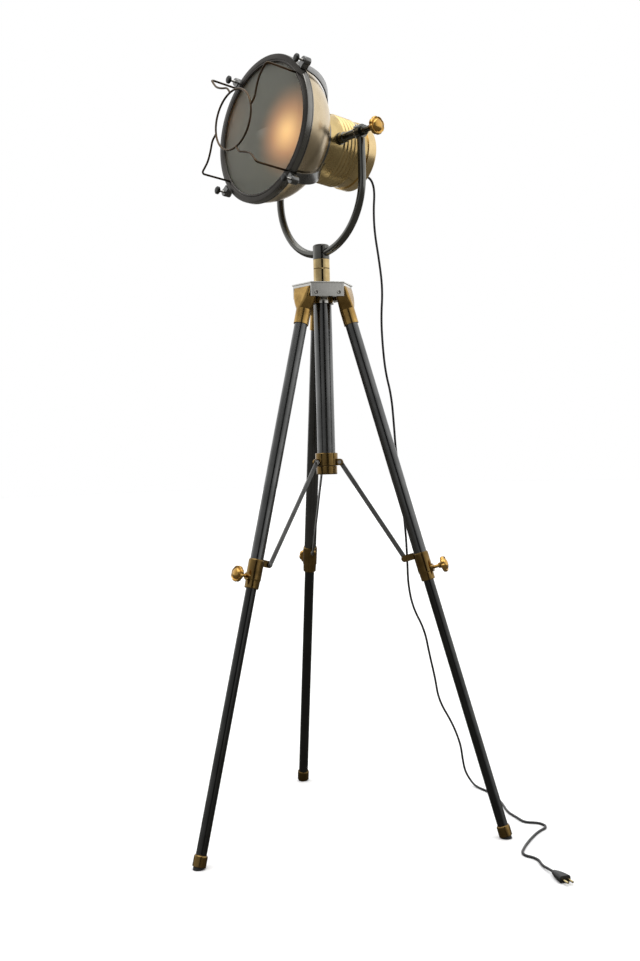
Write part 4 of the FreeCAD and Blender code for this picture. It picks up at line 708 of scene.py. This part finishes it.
def dress_gland():
    """The cord's strain relief: a threaded collar and a tapered, ringed sleeve."""
    base = facing(HEAD @ moved(0.0, 0.102, -0.030), "y")
    outline = [(0.0, -0.006), (0.006, -0.006), (0.006, 0.0), (0.009, 0.0), (0.009, 0.0035),
               (0.007, 0.0045)]
    rings = 7
    for ring in range(rings):
        along = 0.006 + 0.0026 * ring
        radius = 0.0068 - 0.0004 * ring
        outline += [(radius, along), (radius, along + 0.0015), (radius - 0.0009, along + 0.0017),
                    (radius - 0.0009, along + 0.0024)]
    outline += [(0.0036, 0.0245), (0.0030, 0.025), (0.0, 0.025)]
    return stand_in(lathe("strain_relief", rounded(outline, 0.0003, 2), base, "knob brass", 40),
                    "cord_gland")


def dress_plug():
    body = stand_in(smooth_copy("plug_body", "plug", 0.0004, 25.0), "plug_body")
    pins = stand_in(smooth_copy("plug_pins", "pin brass", 0.0003), "plug_pins")
    return [body, pins]


# ---------------------------------------------------------------- studio
# brightness of the room by its bearing from the camera, in degrees: positive is to the camera's right
ROOM = [(-180, 1.20), (-110, 1.10), (-75, 0.55), (-30, 0.42), (-6, 0.34), (1, 0.0), (20, 0.0),
        (28, 0.62), (75, 1.25), (130, 1.20), (180, 1.20)]
CEILING = 0.85
SUN_STRENGTH = 1.9
FLOOR_BOUNCE = (0.10, 0.095, 0.085)
SUN_SIZE = math.radians(75.0)


def add_floor():
    mesh = bpy.data.meshes.new("floor")
    reach = 30.0
    mesh.from_pydata([(-reach, -reach, 0), (reach, -reach, 0), (reach, reach, 0),
                      (-reach, reach, 0)], [], [(0, 1, 2, 3)])
    shader = Shader("floor white")
    cloud = noise(shader.tree, object_coordinates(shader.tree), 3.0)
    white = mix_colour(shader.tree, cloud, (0.90, 0.90, 0.90, 1.0), (0.92, 0.92, 0.92, 1.0))
    seen = shader.tree.nodes.new("ShaderNodeLightPath").outputs["Is Camera Ray"]
    shader.join(mix_colour(shader.tree, seen, (*FLOOR_BOUNCE, 1.0), white),
                shader.body.inputs["Base Color"])
    shader.set(Roughness=0.9, Specular_IOR_Level=0.1)
    mesh.materials.append(shader.material)
    floor = bpy.data.objects.new("floor", mesh)
    floor.location.z = -0.0005
    bpy.context.scene.collection.objects.link(floor)


def add_room():
    """A white room that is dark in a narrow strip beside the camera, so tubes get a dark stripe."""
    world = bpy.data.worlds.new("studio")
    bpy.context.scene.world = world
    world.use_nodes = True
    tree = world.node_tree
    tree.nodes.clear()
    direction = tree.nodes.new("ShaderNodeTexCoord").outputs["Generated"]
    turned = tree.nodes.new("ShaderNodeVectorRotate")
    turned.rotation_type = "Z_AXIS"
    turned.inputs["Angle"].default_value = math.pi / 2.0 - VIEW_TURN
    tree.links.new(direction, turned.inputs["Vector"])
    parts = tree.nodes.new("ShaderNodeSeparateXYZ")
    tree.links.new(turned.outputs[0], parts.inputs[0])
    bearing = math_node(tree, "ARCTAN2", parts.outputs["Y"], parts.outputs["X"])
    bearing = remap(tree, bearing, -math.pi, math.pi)
    ramp = tree.nodes.new("ShaderNodeValToRGB")
    ramp.color_ramp.interpolation = "EASE"
    stops = ramp.color_ramp.elements
    while len(stops) < len(ROOM):
        stops.new(0.5)
    for stop, (degrees, bright) in zip(stops, ROOM):
        stop.position = degrees / 360.0 + 0.5
        stop.color = (bright, bright, bright, 1.0)
    tree.links.new(bearing, ramp.inputs["Fac"])
    height = remap(tree, parts.outputs["Z"], 0.55, 0.95)
    room = mix_colour(tree, height, ramp.outputs["Color"], (CEILING, CEILING, CEILING, 1.0))
    seen = tree.nodes.new("ShaderNodeLightPath").outputs["Is Camera Ray"]
    shown = mix_colour(tree, seen, room, (1.0, 1.0, 1.0, 1.0))
    light = tree.nodes.new("ShaderNodeBackground")
    end = tree.nodes.new("ShaderNodeOutputWorld")
    tree.links.new(shown, light.inputs["Color"])
    tree.links.new(light.outputs[0], end.inputs["Surface"])


def add_lights():
    sun = bpy.data.lights.new("sky panel", "SUN")
    sun.energy = SUN_STRENGTH
    sun.angle = SUN_SIZE
    lamp = bpy.data.objects.new("sky panel", sun)
    lamp.rotation_euler = (math.radians(12.0), math.radians(-8.0), VIEW_TURN)
    bpy.context.scene.collection.objects.link(lamp)


def add_studio():
    add_floor()
    add_room()
    add_lights()
    bpy.context.scene.view_settings.view_transform = "Standard"


# ---------------------------------------------------------------- readings of the frame's solids
def solids_of(node):
    """The separate solids of a node: a list of their points."""
    made = bmesh.new()
    made.from_mesh(NODES[node].data)
    bmesh.ops.remove_doubles(made, verts=made.verts, dist=1e-6)
    left = set(made.verts)
    solids = []
    while left:
        stack = [left.pop()]
        points = []
        while stack:
            vertex = stack.pop()
            points.append(vertex.co.copy())
            for edge in vertex.link_edges:
                other = edge.other_vert(vertex)
                if other in left:
                    left.remove(other)
                    stack.append(other)
        solids.append(points)
    made.free()
    return solids


def span_of(points, matrix):
    """Lowest and highest corner of points in a frame's own axes."""
    inside = matrix.inverted()
    own = [inside @ point for point in points]
    low = Vector([min(point[axis] for point in own) for axis in range(3)])
    high = Vector([max(point[axis] for point in own) for axis in range(3)])
    return low, high


def middle_of(points):
    low, high = span_of(points, Matrix.Identity(4))
    return (low + high) / 2.0


# ---------------------------------------------------------------- repeated pieces
def ring_tree():
    """Geometry Nodes: small wedges set round a turned body, such as teeth or a knurl."""
    tree = bpy.data.node_groups.new("ring of wedges", "GeometryNodeTree")
    face = tree.interface
    face.new_socket("Body", in_out="INPUT", socket_type="NodeSocketGeometry")
    for label, kind, value in (("Count", "Int", 24), ("Radius", "Float", 0.008),
                               ("Height", "Float", 0.0), ("Size", "Vector", (0.001, 0.001, 0.001))):
        face.new_socket(label, in_out="INPUT",
                        socket_type="NodeSocket" + kind).default_value = value
    face.new_socket("Finish", in_out="INPUT", socket_type="NodeSocketMaterial")
    face.new_socket("Piece", in_out="OUTPUT", socket_type="NodeSocketGeometry")
    start = tree.nodes.new("NodeGroupInput")
    end = tree.nodes.new("NodeGroupOutput")
    ring = tree.nodes.new("GeometryNodeMeshCircle")
    shift = tree.nodes.new("GeometryNodeTransform")
    lift = tree.nodes.new("ShaderNodeCombineXYZ")
    cube = tree.nodes.new("GeometryNodeMeshCube")
    index = tree.nodes.new("GeometryNodeInputIndex")
    turn = tree.nodes.new("ShaderNodeMath")
    turn.operation = "DIVIDE"
    whole = tree.nodes.new("ShaderNodeMath")
    whole.operation = "MULTIPLY"
    whole.inputs[1].default_value = math.tau
    angle = tree.nodes.new("ShaderNodeCombineXYZ")
    copies = tree.nodes.new("GeometryNodeInstanceOnPoints")
    both = tree.nodes.new("GeometryNodeJoinGeometry")
    real = tree.nodes.new("GeometryNodeRealizeInstances")
    paint = tree.nodes.new("GeometryNodeSetMaterial")
    link = tree.links.new
    link(start.outputs["Count"], ring.inputs["Vertices"])
    link(start.outputs["Radius"], ring.inputs["Radius"])
    link(start.outputs["Height"], lift.inputs["Z"])
    link(ring.outputs["Mesh"], shift.inputs["Geometry"])
    link(lift.outputs[0], shift.inputs["Translation"])
    link(shift.outputs["Geometry"], copies.inputs["Points"])
    link(start.outputs["Size"], cube.inputs["Size"])
    link(cube.outputs["Mesh"], copies.inputs["Instance"])
    link(index.outputs[0], turn.inputs[0])
    link(start.outputs["Count"], turn.inputs[1])
    link(turn.outputs[0], whole.inputs[0])
    link(whole.outputs[0], angle.inputs["Z"])
    link(angle.outputs[0], copies.inputs["Rotation"])
    link(start.outputs["Body"], both.inputs["Geometry"])
    link(copies.outputs["Instances"], both.inputs["Geometry"])
    link(both.outputs["Geometry"], real.inputs["Geometry"])
    link(real.outputs["Geometry"], paint.inputs["Geometry"])
    link(start.outputs["Finish"], paint.inputs["Material"])
    link(paint.outputs["Geometry"], end.inputs["Piece"])
    return tree


def seats_tree():
    """Geometry Nodes: one fastener on each seat, square to it."""
    tree = bpy.data.node_groups.new("fasteners on their seats", "GeometryNodeTree")
    face = tree.interface
    face.new_socket("Seats", in_out="INPUT", socket_type="NodeSocketGeometry")
    face.new_socket("Fastener", in_out="INPUT", socket_type="NodeSocketObject")
    face.new_socket("Finish", in_out="INPUT", socket_type="NodeSocketMaterial")
    face.new_socket("Fasteners", in_out="OUTPUT", socket_type="NodeSocketGeometry")
    start = tree.nodes.new("NodeGroupInput")
    end = tree.nodes.new("NodeGroupOutput")
    normal = tree.nodes.new("GeometryNodeInputNormal")
    keep = tree.nodes.new("GeometryNodeCaptureAttribute")
    keep.domain = "FACE"
    keep.capture_items.new("VECTOR", "Outwards")
    spots = tree.nodes.new("GeometryNodeMeshToPoints")
    spots.mode = "FACES"
    aim = tree.nodes.new("FunctionNodeAlignRotationToVector")
    aim.axis = "Z"
    source = tree.nodes.new("GeometryNodeObjectInfo")
    copies = tree.nodes.new("GeometryNodeInstanceOnPoints")
    real = tree.nodes.new("GeometryNodeRealizeInstances")
    paint = tree.nodes.new("GeometryNodeSetMaterial")
    link = tree.links.new
    link(start.outputs["Seats"], keep.inputs["Geometry"])
    link(normal.outputs[0], keep.inputs["Outwards"])
    link(keep.outputs["Geometry"], spots.inputs["Mesh"])
    link(spots.outputs["Points"], copies.inputs["Points"])
    link(keep.outputs["Outwards"], aim.inputs["Vector"])
    link(aim.outputs["Rotation"], copies.inputs["Rotation"])
    link(start.outputs["Fastener"], source.inputs["Object"])
    link(source.outputs["Geometry"], copies.inputs["Instance"])
    link(copies.outputs["Instances"], real.inputs["Geometry"])
    link(real.outputs["Geometry"], paint.inputs["Geometry"])
    link(start.outputs["Finish"], paint.inputs["Material"])
    link(paint.outputs["Geometry"], end.inputs["Fasteners"])
    return tree


def with_ring(piece, matrix, finish, count, radius, height, size):
    """Adds a ring of wedges to a piece that was turned about its own Z axis, then places it."""
    with_tree(piece, RING, Count=count, Radius=radius, Height=height, Size=size,
              Finish=FINISHES[finish])
    piece.data.transform(matrix)
    return piece


def fasteners(name, seats, profile, finish, segments=24):
    """Copies of one turned fastener, one at each seat."""
    size = 0.0005
    spots = []
    faces = []
    for seat in seats:
        first = len(spots)
        spots += [tuple(seat @ Vector((x * size, y * size, 0.0)))
                  for x, y in ((-1, -1), (1, -1), (1, 1), (-1, 1))]
        faces.append(tuple(range(first, first + 4)))
    mesh = bpy.data.meshes.new(name)
    mesh.from_pydata(spots, [], faces)
    piece = new_object(name, mesh)
    one = lathe(name + "_one", profile, Matrix.Identity(4), finish, segments)
    with_tree(piece, SEATS, Fastener=one, Finish=FINISHES[finish])
    bpy.data.objects.remove(one)
    return piece


# ---------------------------------------------------------------- knobs and screws
def lobed(name, profile, matrix, finish, hollow_shade_finish, lobes=8, segments=96):
    """A cast knob from (radius, height, lobe depth, in the hollow) rows; the hollow rows take a darker copy of the
    brass as painted shade.
    """
    made = bmesh.new()
    rings = []
    for radius, height, depth, _ in profile:
        if radius < 1e-6:
            rings.append([made.verts.new((0.0, 0.0, height))])
            continue
        ring = []
        for k in range(segments):
            turn = math.tau * k / segments
            waist = max(0.0, math.cos(lobes * turn)) ** 1.5
            reach = radius * (1.0 - depth * waist)
            ring.append(made.verts.new((reach * math.cos(turn), reach * math.sin(turn), height)))
        rings.append(ring)
    for index, (low, high) in enumerate(zip(rings, rings[1:])):
        for k in range(segments):
            after = (k + 1) % segments
            if len(low) == 1:
                face = made.faces.new((low[0], high[after], high[k]))
            elif len(high) == 1:
                face = made.faces.new((low[k], low[after], high[0]))
            else:
                face = made.faces.new((low[k], low[after], high[after], high[k]))
            face.material_index = profile[index][3]
    bmesh.ops.recalc_face_normals(made, faces=made.faces)
    mesh = bpy.data.meshes.new(name)
    made.to_mesh(mesh)
    made.free()
    shade(mesh, 40.0)
    mesh.transform(matrix)
    piece = new_object(name, mesh, finish)
    mesh.materials.append(FINISHES[hollow_shade_finish])
    return piece


def knob_frame(joint):
    along = axis_of(joint)
    side = along.orthogonal().normalized()
    return frame_from(place_of(joint), side, along.cross(side), along)


def dress_knob(node, joint):
    """A lobed knob: screw, coned stem, hollow back, rim, dished ring and domed middle."""
    frame_here = knob_frame(joint)
    low, high = span_of([v.co for v in NODES[node].data.vertices], frame_here)
    edge = (high.x - low.x) / 2.0
    top = high.z
    rim = edge * 0.52
    face = top - edge * 0.26
    back = face - rim
    # the last column gives the hollow back and the dished ring the darker brass: painted shade in the recesses
    rows = [
        (0.0, low.z, 0, 0), (0.0033, low.z, 0, 0), (0.0035, low.z + 0.0006, 0, 0),
        (0.0035, back - 0.0075, 0, 0), (0.0055, back - 0.007, 0, 1), (0.0062, back - 0.003, 0, 1),
        (0.0085, back - 0.0006, 0, 1), (edge * 0.72, back, 0, 1),
        (edge * 0.92, back + rim * 0.10, 0.06, 0), (edge * 0.985, back + rim * 0.30, 0.085, 0),
        (edge, back + rim * 0.58, 0.09, 0), (edge * 0.975, back + rim * 0.86, 0.085, 0),
        (edge * 0.92, face, 0.06, 0), (edge * 0.86, face - 0.0001, 0.03, 1),
        (edge * 0.78, face - 0.0013, 0, 1), (edge * 0.70, face - 0.0014, 0, 1),
        (edge * 0.665, face - 0.0004, 0, 0), (edge * 0.63, face + 0.0012, 0, 0),
        (edge * 0.52, face + edge * 0.145, 0, 0), (edge * 0.34, face + edge * 0.21, 0, 0),
        (edge * 0.15, face + edge * 0.25, 0, 0), (0.0, top, 0, 0),
    ]
    return stand_in(lobed(node + "_cast", rows, frame_here, "knob brass", "knob hollow painted shade"), node)


def dress_thumbscrew(corner):
    """A thumbscrew: bright threaded shank and a knurled ball-cornered head."""
    node = "thumbscrew_" + corner
    joint = node + "_turn"
    here = knob_frame(joint)
    low, high = span_of([v.co for v in NODES[node].data.vertices], here)
    head = (high.x - low.x) / 2.0 - 0.0004
    top = high.z
    back = top - 0.008
    shank = 0.0024
    pitch = 0.0011
    rows = [(0.0, low.z), (shank - 0.0006, low.z), (shank, low.z + 0.0008)]
    turns = int((back - low.z - 0.002) / pitch)
    for turn in range(turns):
        along = low.z + 0.001 + pitch * turn
        rows += [(shank, along), (shank - 0.0004, along + pitch * 0.5)]
    rows += [(shank, back - 0.0004), (head * 0.5, back), (0.0, back)]
    shank_piece = lathe(node + "_shank", rows, here, "plain steel", 20)
    head_rows = [(0.0, back), (head * 0.52, back), (head * 0.86, back + 0.0014),
                 (head * 0.97, back + 0.0030), (head * 0.97, top - 0.0026),
                 (head * 0.84, top - 0.0008), (head * 0.55, top - 0.0001), (0.0, top)]
    ball = lathe(node + "_head", rounded(head_rows, 0.0006, 2), Matrix.Identity(4), "dark screws", 40)
    with_ring(ball, here, "dark screws", 26, head * 0.955, (back + top) / 2.0 + 0.0001,
              (0.0009, 0.0010, 0.0036))
    stand_in(ball, node)
    stand_in(shank_piece, node)


def dress_toothed_washers():
    """The coarse-toothed washers that lock the head's tilt."""
    for index, points in enumerate(sorted(solids_of("toothed_washers"), key=lambda p: -middle_of(p).x)):
        here = facing(Matrix.Translation(middle_of(points)) @ YOKE.to_3x3().to_4x4(), "x")
        low, high = span_of(points, here)
        thick = high.z - low.z
        radius = (high.x - low.x) / 2.0 + 0.0012
        rows = [(0.0056, low.z), (radius - 0.0022, low.z), (radius - 0.0016, low.z + 0.0006),
                (radius - 0.0016, high.z - 0.0006), (radius - 0.0022, high.z), (0.0056, high.z)]
        disc = lathe("toothed_washer_%d" % (index + 1), rows, Matrix.Identity(4), "hub nickel", 48)
        with_ring(disc, here, "hub nickel", 14, radius - 0.0016, (low.z + high.z) / 2.0,
                  (0.0036, 0.0030, thick * 0.96))
        stand_in(disc, "toothed_washers")


# ---------------------------------------------------------------- head
BEZEL_RADIUS = 0.150
BEZEL_INNER = 0.133
FACE = 0.1494
BEZEL_BACK = 0.134
DOME_RIM = 0.146
DOME_BULGE = 0.112
NECK_RADIUS = 0.0715
NECK = 0.036
STRAP_WIDTH = 0.0225
STRAP_THICK = 0.0028
STRAP_TWIST = math.radians(25.0)


def dress_bezel():
    here = facing(HEAD, "-y")
    rows = [
        (BEZEL_INNER, FACE - 0.0012), (BEZEL_INNER + 0.0014, FACE), (BEZEL_INNER + 0.0040, FACE),
        (BEZEL_INNER + 0.0048, FACE - 0.0006), (BEZEL_INNER + 0.0056, FACE),
        (BEZEL_RADIUS - 0.0032, FACE), (BEZEL_RADIUS - 0.0009, FACE - 0.0008),
        (BEZEL_RADIUS, FACE - 0.0030), (BEZEL_RADIUS, BEZEL_BACK + 0.0036),
        (BEZEL_RADIUS - 0.0007, BEZEL_BACK + 0.0030), (BEZEL_RADIUS, BEZEL_BACK + 0.0024),
        (BEZEL_RADIUS, BEZEL_BACK + 0.0006), (BEZEL_RADIUS - 0.0006, BEZEL_BACK),
        (BEZEL_RADIUS - 0.0038, BEZEL_BACK), (BEZEL_RADIUS - 0.0038, FACE - 0.0044),
        (BEZEL_INNER, FACE - 0.0044),
    ]
    bezel = lathe("bezel_rolled", rows, here, "bezel nickel", 160, 28.0)
    # the faces that look ahead take the darker copy of the nickel: a painted dark reflection
    paint_faces(bezel, "bezel front painted dark reflection", HEAD_AHEAD, 0.6)
    stand_in(bezel, "bezel_ring")


def dome_point(share, lift=0.0):
    """A point of the dome's outer profile (radius, ahead), from the rim at 0 to the neck at 1."""
    start = Vector((DOME_RIM, BEZEL_BACK))
    end = Vector((NECK_RADIUS, NECK))
    middle = (start + end) / 2.0
    half = (end - start) / 2.0
    inwards = Vector((-half.y, half.x)).normalized()
    if (middle + inwards).x > middle.x:
        inwards = -inwards
    centre = middle + inwards * math.sqrt(DOME_BULGE ** 2 - half.length ** 2)
    first = math.atan2(start.y - centre.y, start.x - centre.x)
    last = math.atan2(end.y - centre.y, end.x - centre.x)
    angle = first + (last - first) * share
    reach = DOME_BULGE + lift
    return centre.x + reach * math.cos(angle), centre.y + reach * math.sin(angle)


def dress_dome():
    """The spun dome: a smooth bowl with a rolled bead at its rim and a collar at its neck."""
    here = facing(HEAD, "-y")
    wall = 0.0015
    steps = 28
    front = 0.1365
    rows = [(DOME_RIM - wall, front), (DOME_RIM - 0.0003, front), (DOME_RIM, front - 0.0004),
            (DOME_RIM, BEZEL_BACK + 0.0002)]
    rows += [dome_point(step / steps) for step in range(1, steps)]
    rows += [(NECK_RADIUS, NECK), (NECK_RADIUS, NECK - 0.0105), (NECK_RADIUS - wall, NECK - 0.0105)]
    rows += [dome_point(1.0 - step / steps, -wall) for step in range(1, steps)]
    stand_in(lathe("dome_spun", rows, here, "champagne dome", 144, 40.0), "dome_shell")


CAN_RADIUS = 0.070
RIB_MIDDLES = [-0.0148 - 0.0096 * index for index in range(5)]
RIB_HALF = 0.0040
RIB_RISE = 0.0026


def dress_can():
    """The rear can with five rolled ribs."""
    here = facing(HEAD, "-y")
    wall = 0.0015
    outside = [(CAN_RADIUS, 0.0348)]
    steps = 8
    for middle in RIB_MIDDLES:
        for step in range(steps + 1):
            share = 1.0 - 2.0 * step / steps
            swell = (0.5 + 0.5 * math.cos(math.pi * share)) ** 0.8
            outside.append((CAN_RADIUS + RIB_RISE * swell, middle + RIB_HALF * share))
    outside.append((CAN_RADIUS, -0.0840))
    inside = [(radius - wall, ahead) for radius, ahead in reversed(outside)]
    stand_in(lathe("can_spun", outside + inside, here, "can brass", 128, 50.0), "rear_can")


def strap_mesh(angle):
    """One strap as a bar of rectangular section that bows clear of the dome."""
    outer = [(0.1532, 0.1350), (0.1531, 0.1300)]
    steps = 16
    for step in range(2, steps):
        share = step / steps
        clear = 0.0045 + 0.0012 * math.sin(math.pi * share)
        outer.append(dome_point(share, clear + STRAP_THICK))
    outer += [(0.0785, 0.0375), (0.0775, 0.0335), (0.0775, 0.0275)]
    across = Vector((-math.sin(angle), 0.0, math.cos(angle)))
    away = Vector((math.cos(angle), 0.0, math.sin(angle)))
    twist = math.copysign(STRAP_TWIST, math.sin(2.0 * angle))
    made = bmesh.new()
    rings = []
    for index, (radius, ahead) in enumerate(outer):
        before = Vector(outer[max(0, index - 1)])
        after = Vector(outer[min(len(outer) - 1, index + 1)])
        along = (after - before).normalized()
        inward = Vector((along.y, -along.x))
        if inward.x > 0 and index < len(outer) - 4:
            inward = -inward
        if index >= len(outer) - 4 or inward.x > 0:
            inward = Vector((-abs(inward.x), -abs(inward.y)))
        half = STRAP_WIDTH / 2.0
        lean = twist * math.sin(math.pi * index / (len(outer) - 1))
        ring = []
        for side, depth in ((-half, 0.0), (half, 0.0), (half, STRAP_THICK), (-half, STRAP_THICK)):
            spot = Vector((radius, ahead)) + inward * (depth - side * math.sin(lean))
            ring.append(made.verts.new(away * spot.x + across * side * math.cos(lean)
                                       + Vector((0.0, -spot.y, 0.0))))
        rings.append(ring)
    for low, high in zip(rings, rings[1:]):
        for k in range(4):
            made.faces.new((low[k], low[(k + 1) % 4], high[(k + 1) % 4], high[k]))
    made.faces.new(rings[0])
    made.faces.new(rings[-1])
    bmesh.ops.recalc_face_normals(made, faces=made.faces)
    mesh = bpy.data.meshes.new("strap")
    made.to_mesh(mesh)
    made.free()
    return mesh


def dress_straps():
    """Four bowed straps with rounded lugs round the thumbscrews, and the band round the neck."""
    corners = []
    for corner in CORNERS:
        spot = HEAD.inverted() @ place_of("thumbscrew_%s_turn" % corner)
        corners.append(math.atan2(spot.z, spot.x))
    for corner, angle in zip(CORNERS, corners):
        mesh = strap_mesh(angle)
        mesh.transform(HEAD)
        strap = new_object("strap_" + corner, mesh, "strap steel")
        ease = strap.modifiers.new("ease", "BEVEL")
        ease.width = 0.0007
        ease.segments = 2
        ease.limit_method = "ANGLE"
        apply_modifiers(strap)
        shade(strap.data, 30.0)
        stand_in(strap, "strap_frame")
        spot = HEAD @ Matrix.Rotation(-angle, 4, "Y") @ moved(0.164, -0.1335, 0.0)
        here = facing(spot, "-y")
        rows = [(0.0026, 0.0), (0.0078, 0.0), (0.0085, 0.0008), (0.0085, 0.0150),
                (0.0078, 0.0160), (0.0062, 0.0163), (0.0026, 0.0163)]
        lug = lathe("lug_" + corner, rows, here, "strap steel", 40)
        stand_in(lug, "strap_frame")
        web = bmesh.new()
        bmesh.ops.create_cube(web, size=1.0)
        bmesh.ops.scale(web, vec=(0.0105, 0.0158, 0.0150), verts=web.verts)
        bmesh.ops.bevel(web, geom=web.edges[:], offset=0.0008, segments=2, affect="EDGES")
        mesh = bpy.data.meshes.new("web")
        web.to_mesh(mesh)
        web.free()
        shade(mesh, 30.0)
        mesh.transform(HEAD @ Matrix.Rotation(-angle, 4, "Y") @ moved(0.1558, -0.1416, 0.0))
        stand_in(new_object("lug_web_" + corner, mesh, "strap steel"), "strap_frame")
    here = facing(HEAD, "-y")
    rows = [(0.0716, 0.0350), (0.0748, 0.0350), (0.0755, 0.0343), (0.0755, 0.0277),
            (0.0748, 0.0270), (0.0716, 0.0270)]
    stand_in(lathe("strap_band", rows, here, "strap steel", 120), "strap_frame")


# ---------------------------------------------------------------- hub and tripod
def dress_hub():
    seats = []
    for points in solids_of("hub_screws"):
        centre = middle_of(points)
        bearing = round((math.degrees(math.atan2(centre.y - AXIS_Y, centre.x)) - 30.0) / 60.0)
        angle = math.radians(30.0 + 60.0 * bearing)
        outwards = Vector((math.cos(angle), math.sin(angle), 0.0))
        along = Vector((-math.sin(angle), math.cos(angle), 0.0))
        here = frame_from(centre, along, Vector((0, 0, 1)), outwards)
        if here.to_3x3().determinant() < 0:
            here = frame_from(centre, -along, Vector((0, 0, 1)), outwards)
        low, high = span_of(points, here)
        seats.append(here @ moved(0.0, 0.0, high.z))
    rows = [(0.0, -0.0012), (0.0011, -0.0016), (0.0016, -0.0006), (0.0034, -0.0002),
            (0.0041, -0.0011), (0.00425, -0.0024), (0.00425, -0.0032), (0.0020, -0.0032),
            (0.0020, -0.0100), (0.0, -0.0100)]
    stand_in(fasteners("hub_screw_heads", seats, rows, "plain steel"), "hub_screws")
    stand_in(smooth_copy("hub_plate", "hub nickel", 0.0005), "hub_plate")
    stand_in(smooth_copy("hub_casting", "hub nickel", 0.0007), "hub_casting")


def dress_tripod():
    for leg in LEGS:
        stand_in(smooth_copy("leg_bracket_" + leg, "antique brass", 0.0008), "leg_bracket_" + leg)
        stand_in(smooth_copy("leg_clamp_" + leg, "dark brass", 0.0006), "leg_clamp_" + leg)
        stand_in(smooth_copy("foot_cap_" + leg, "dark brass", 0.0006), "foot_cap_" + leg)
        stand_in(smooth_copy("brace_" + leg, "brace steel", 0.0004), "brace_" + leg)
        dress_knob("leg_knob_" + leg, "leg_knob_%s_turn" % leg)
    stand_in(smooth_copy("brace_collar", "dark brass", 0.0006), "brace_collar")
    stand_in(smooth_copy("column_stop", "dark brass", 0.0008), "column_stop")


def dress_post():
    stand_in(smooth_copy("swivel_post", "yoke nickel", 0.0008), "swivel_post")
    stand_in(smooth_copy("swivel_sleeve", "socket brass", 0.0005), "swivel_sleeve")
    stand_in(smooth_copy("post_socket", "socket brass", 0.0005), "post_socket")


def paint_plain_nodes():
    """Finishes of the nodes that stay as they are."""
    for node, piece in NODES.items():
        finish = PLAIN[SLOT_OF[node]]
        for leg in LEGS:
            if node == "upper_leg_" + leg:
                finish = "upper leg " + leg
            # the lower tubes get the darker copy of the nickel: painted shade near the floor
            if node == "lower_leg_" + leg:
                finish = "shaded lower leg " + leg
        finish = SPECIAL.get(node, finish)
        piece.data.materials.clear()
        piece.data.materials.append(FINISHES[finish])


SPECIAL = {"centre_column": "column nickel", "rear_can": "can brass", "end_cap": "cap brass",
           "strap_frame": "strap steel"}
PLAIN = {
    "black_nickel": "yoke nickel", "antique_brass": "antique brass", "golden_brass": "knob brass",
    "champagne_metal": "champagne dome", "steel_screws": "plain steel",
    "dark_screws": "dark screws", "brace_steel": "brace steel", "bronze_wire": "bronze wire",
    "frosted_glass": "frosted glass", "bulb_glass": "lit bulb", "holder_plastic": "holder plastic",
    "foot_rubber": "foot rubber", "cord_rubber": "cord", "plug_plastic": "plug",
    "plug_metal": "pin brass",
}

METAL = metal_finish_group()
GRAIN = grain_group()
FINISHES = make_materials()
SWEEP = sweep_tree()
RING = ring_tree()
SEATS = seats_tree()

add_camera()
add_studio()
hang_cord()
paint_plain_nodes()
dress_bezel()
dress_dome()
dress_can()
dress_straps()
for corner in CORNERS:
    dress_thumbscrew(corner)
dress_toothed_washers()
dress_knob("tilt_knob", "tilt_knob_turn")
dress_post()
dress_hub()
dress_tripod()
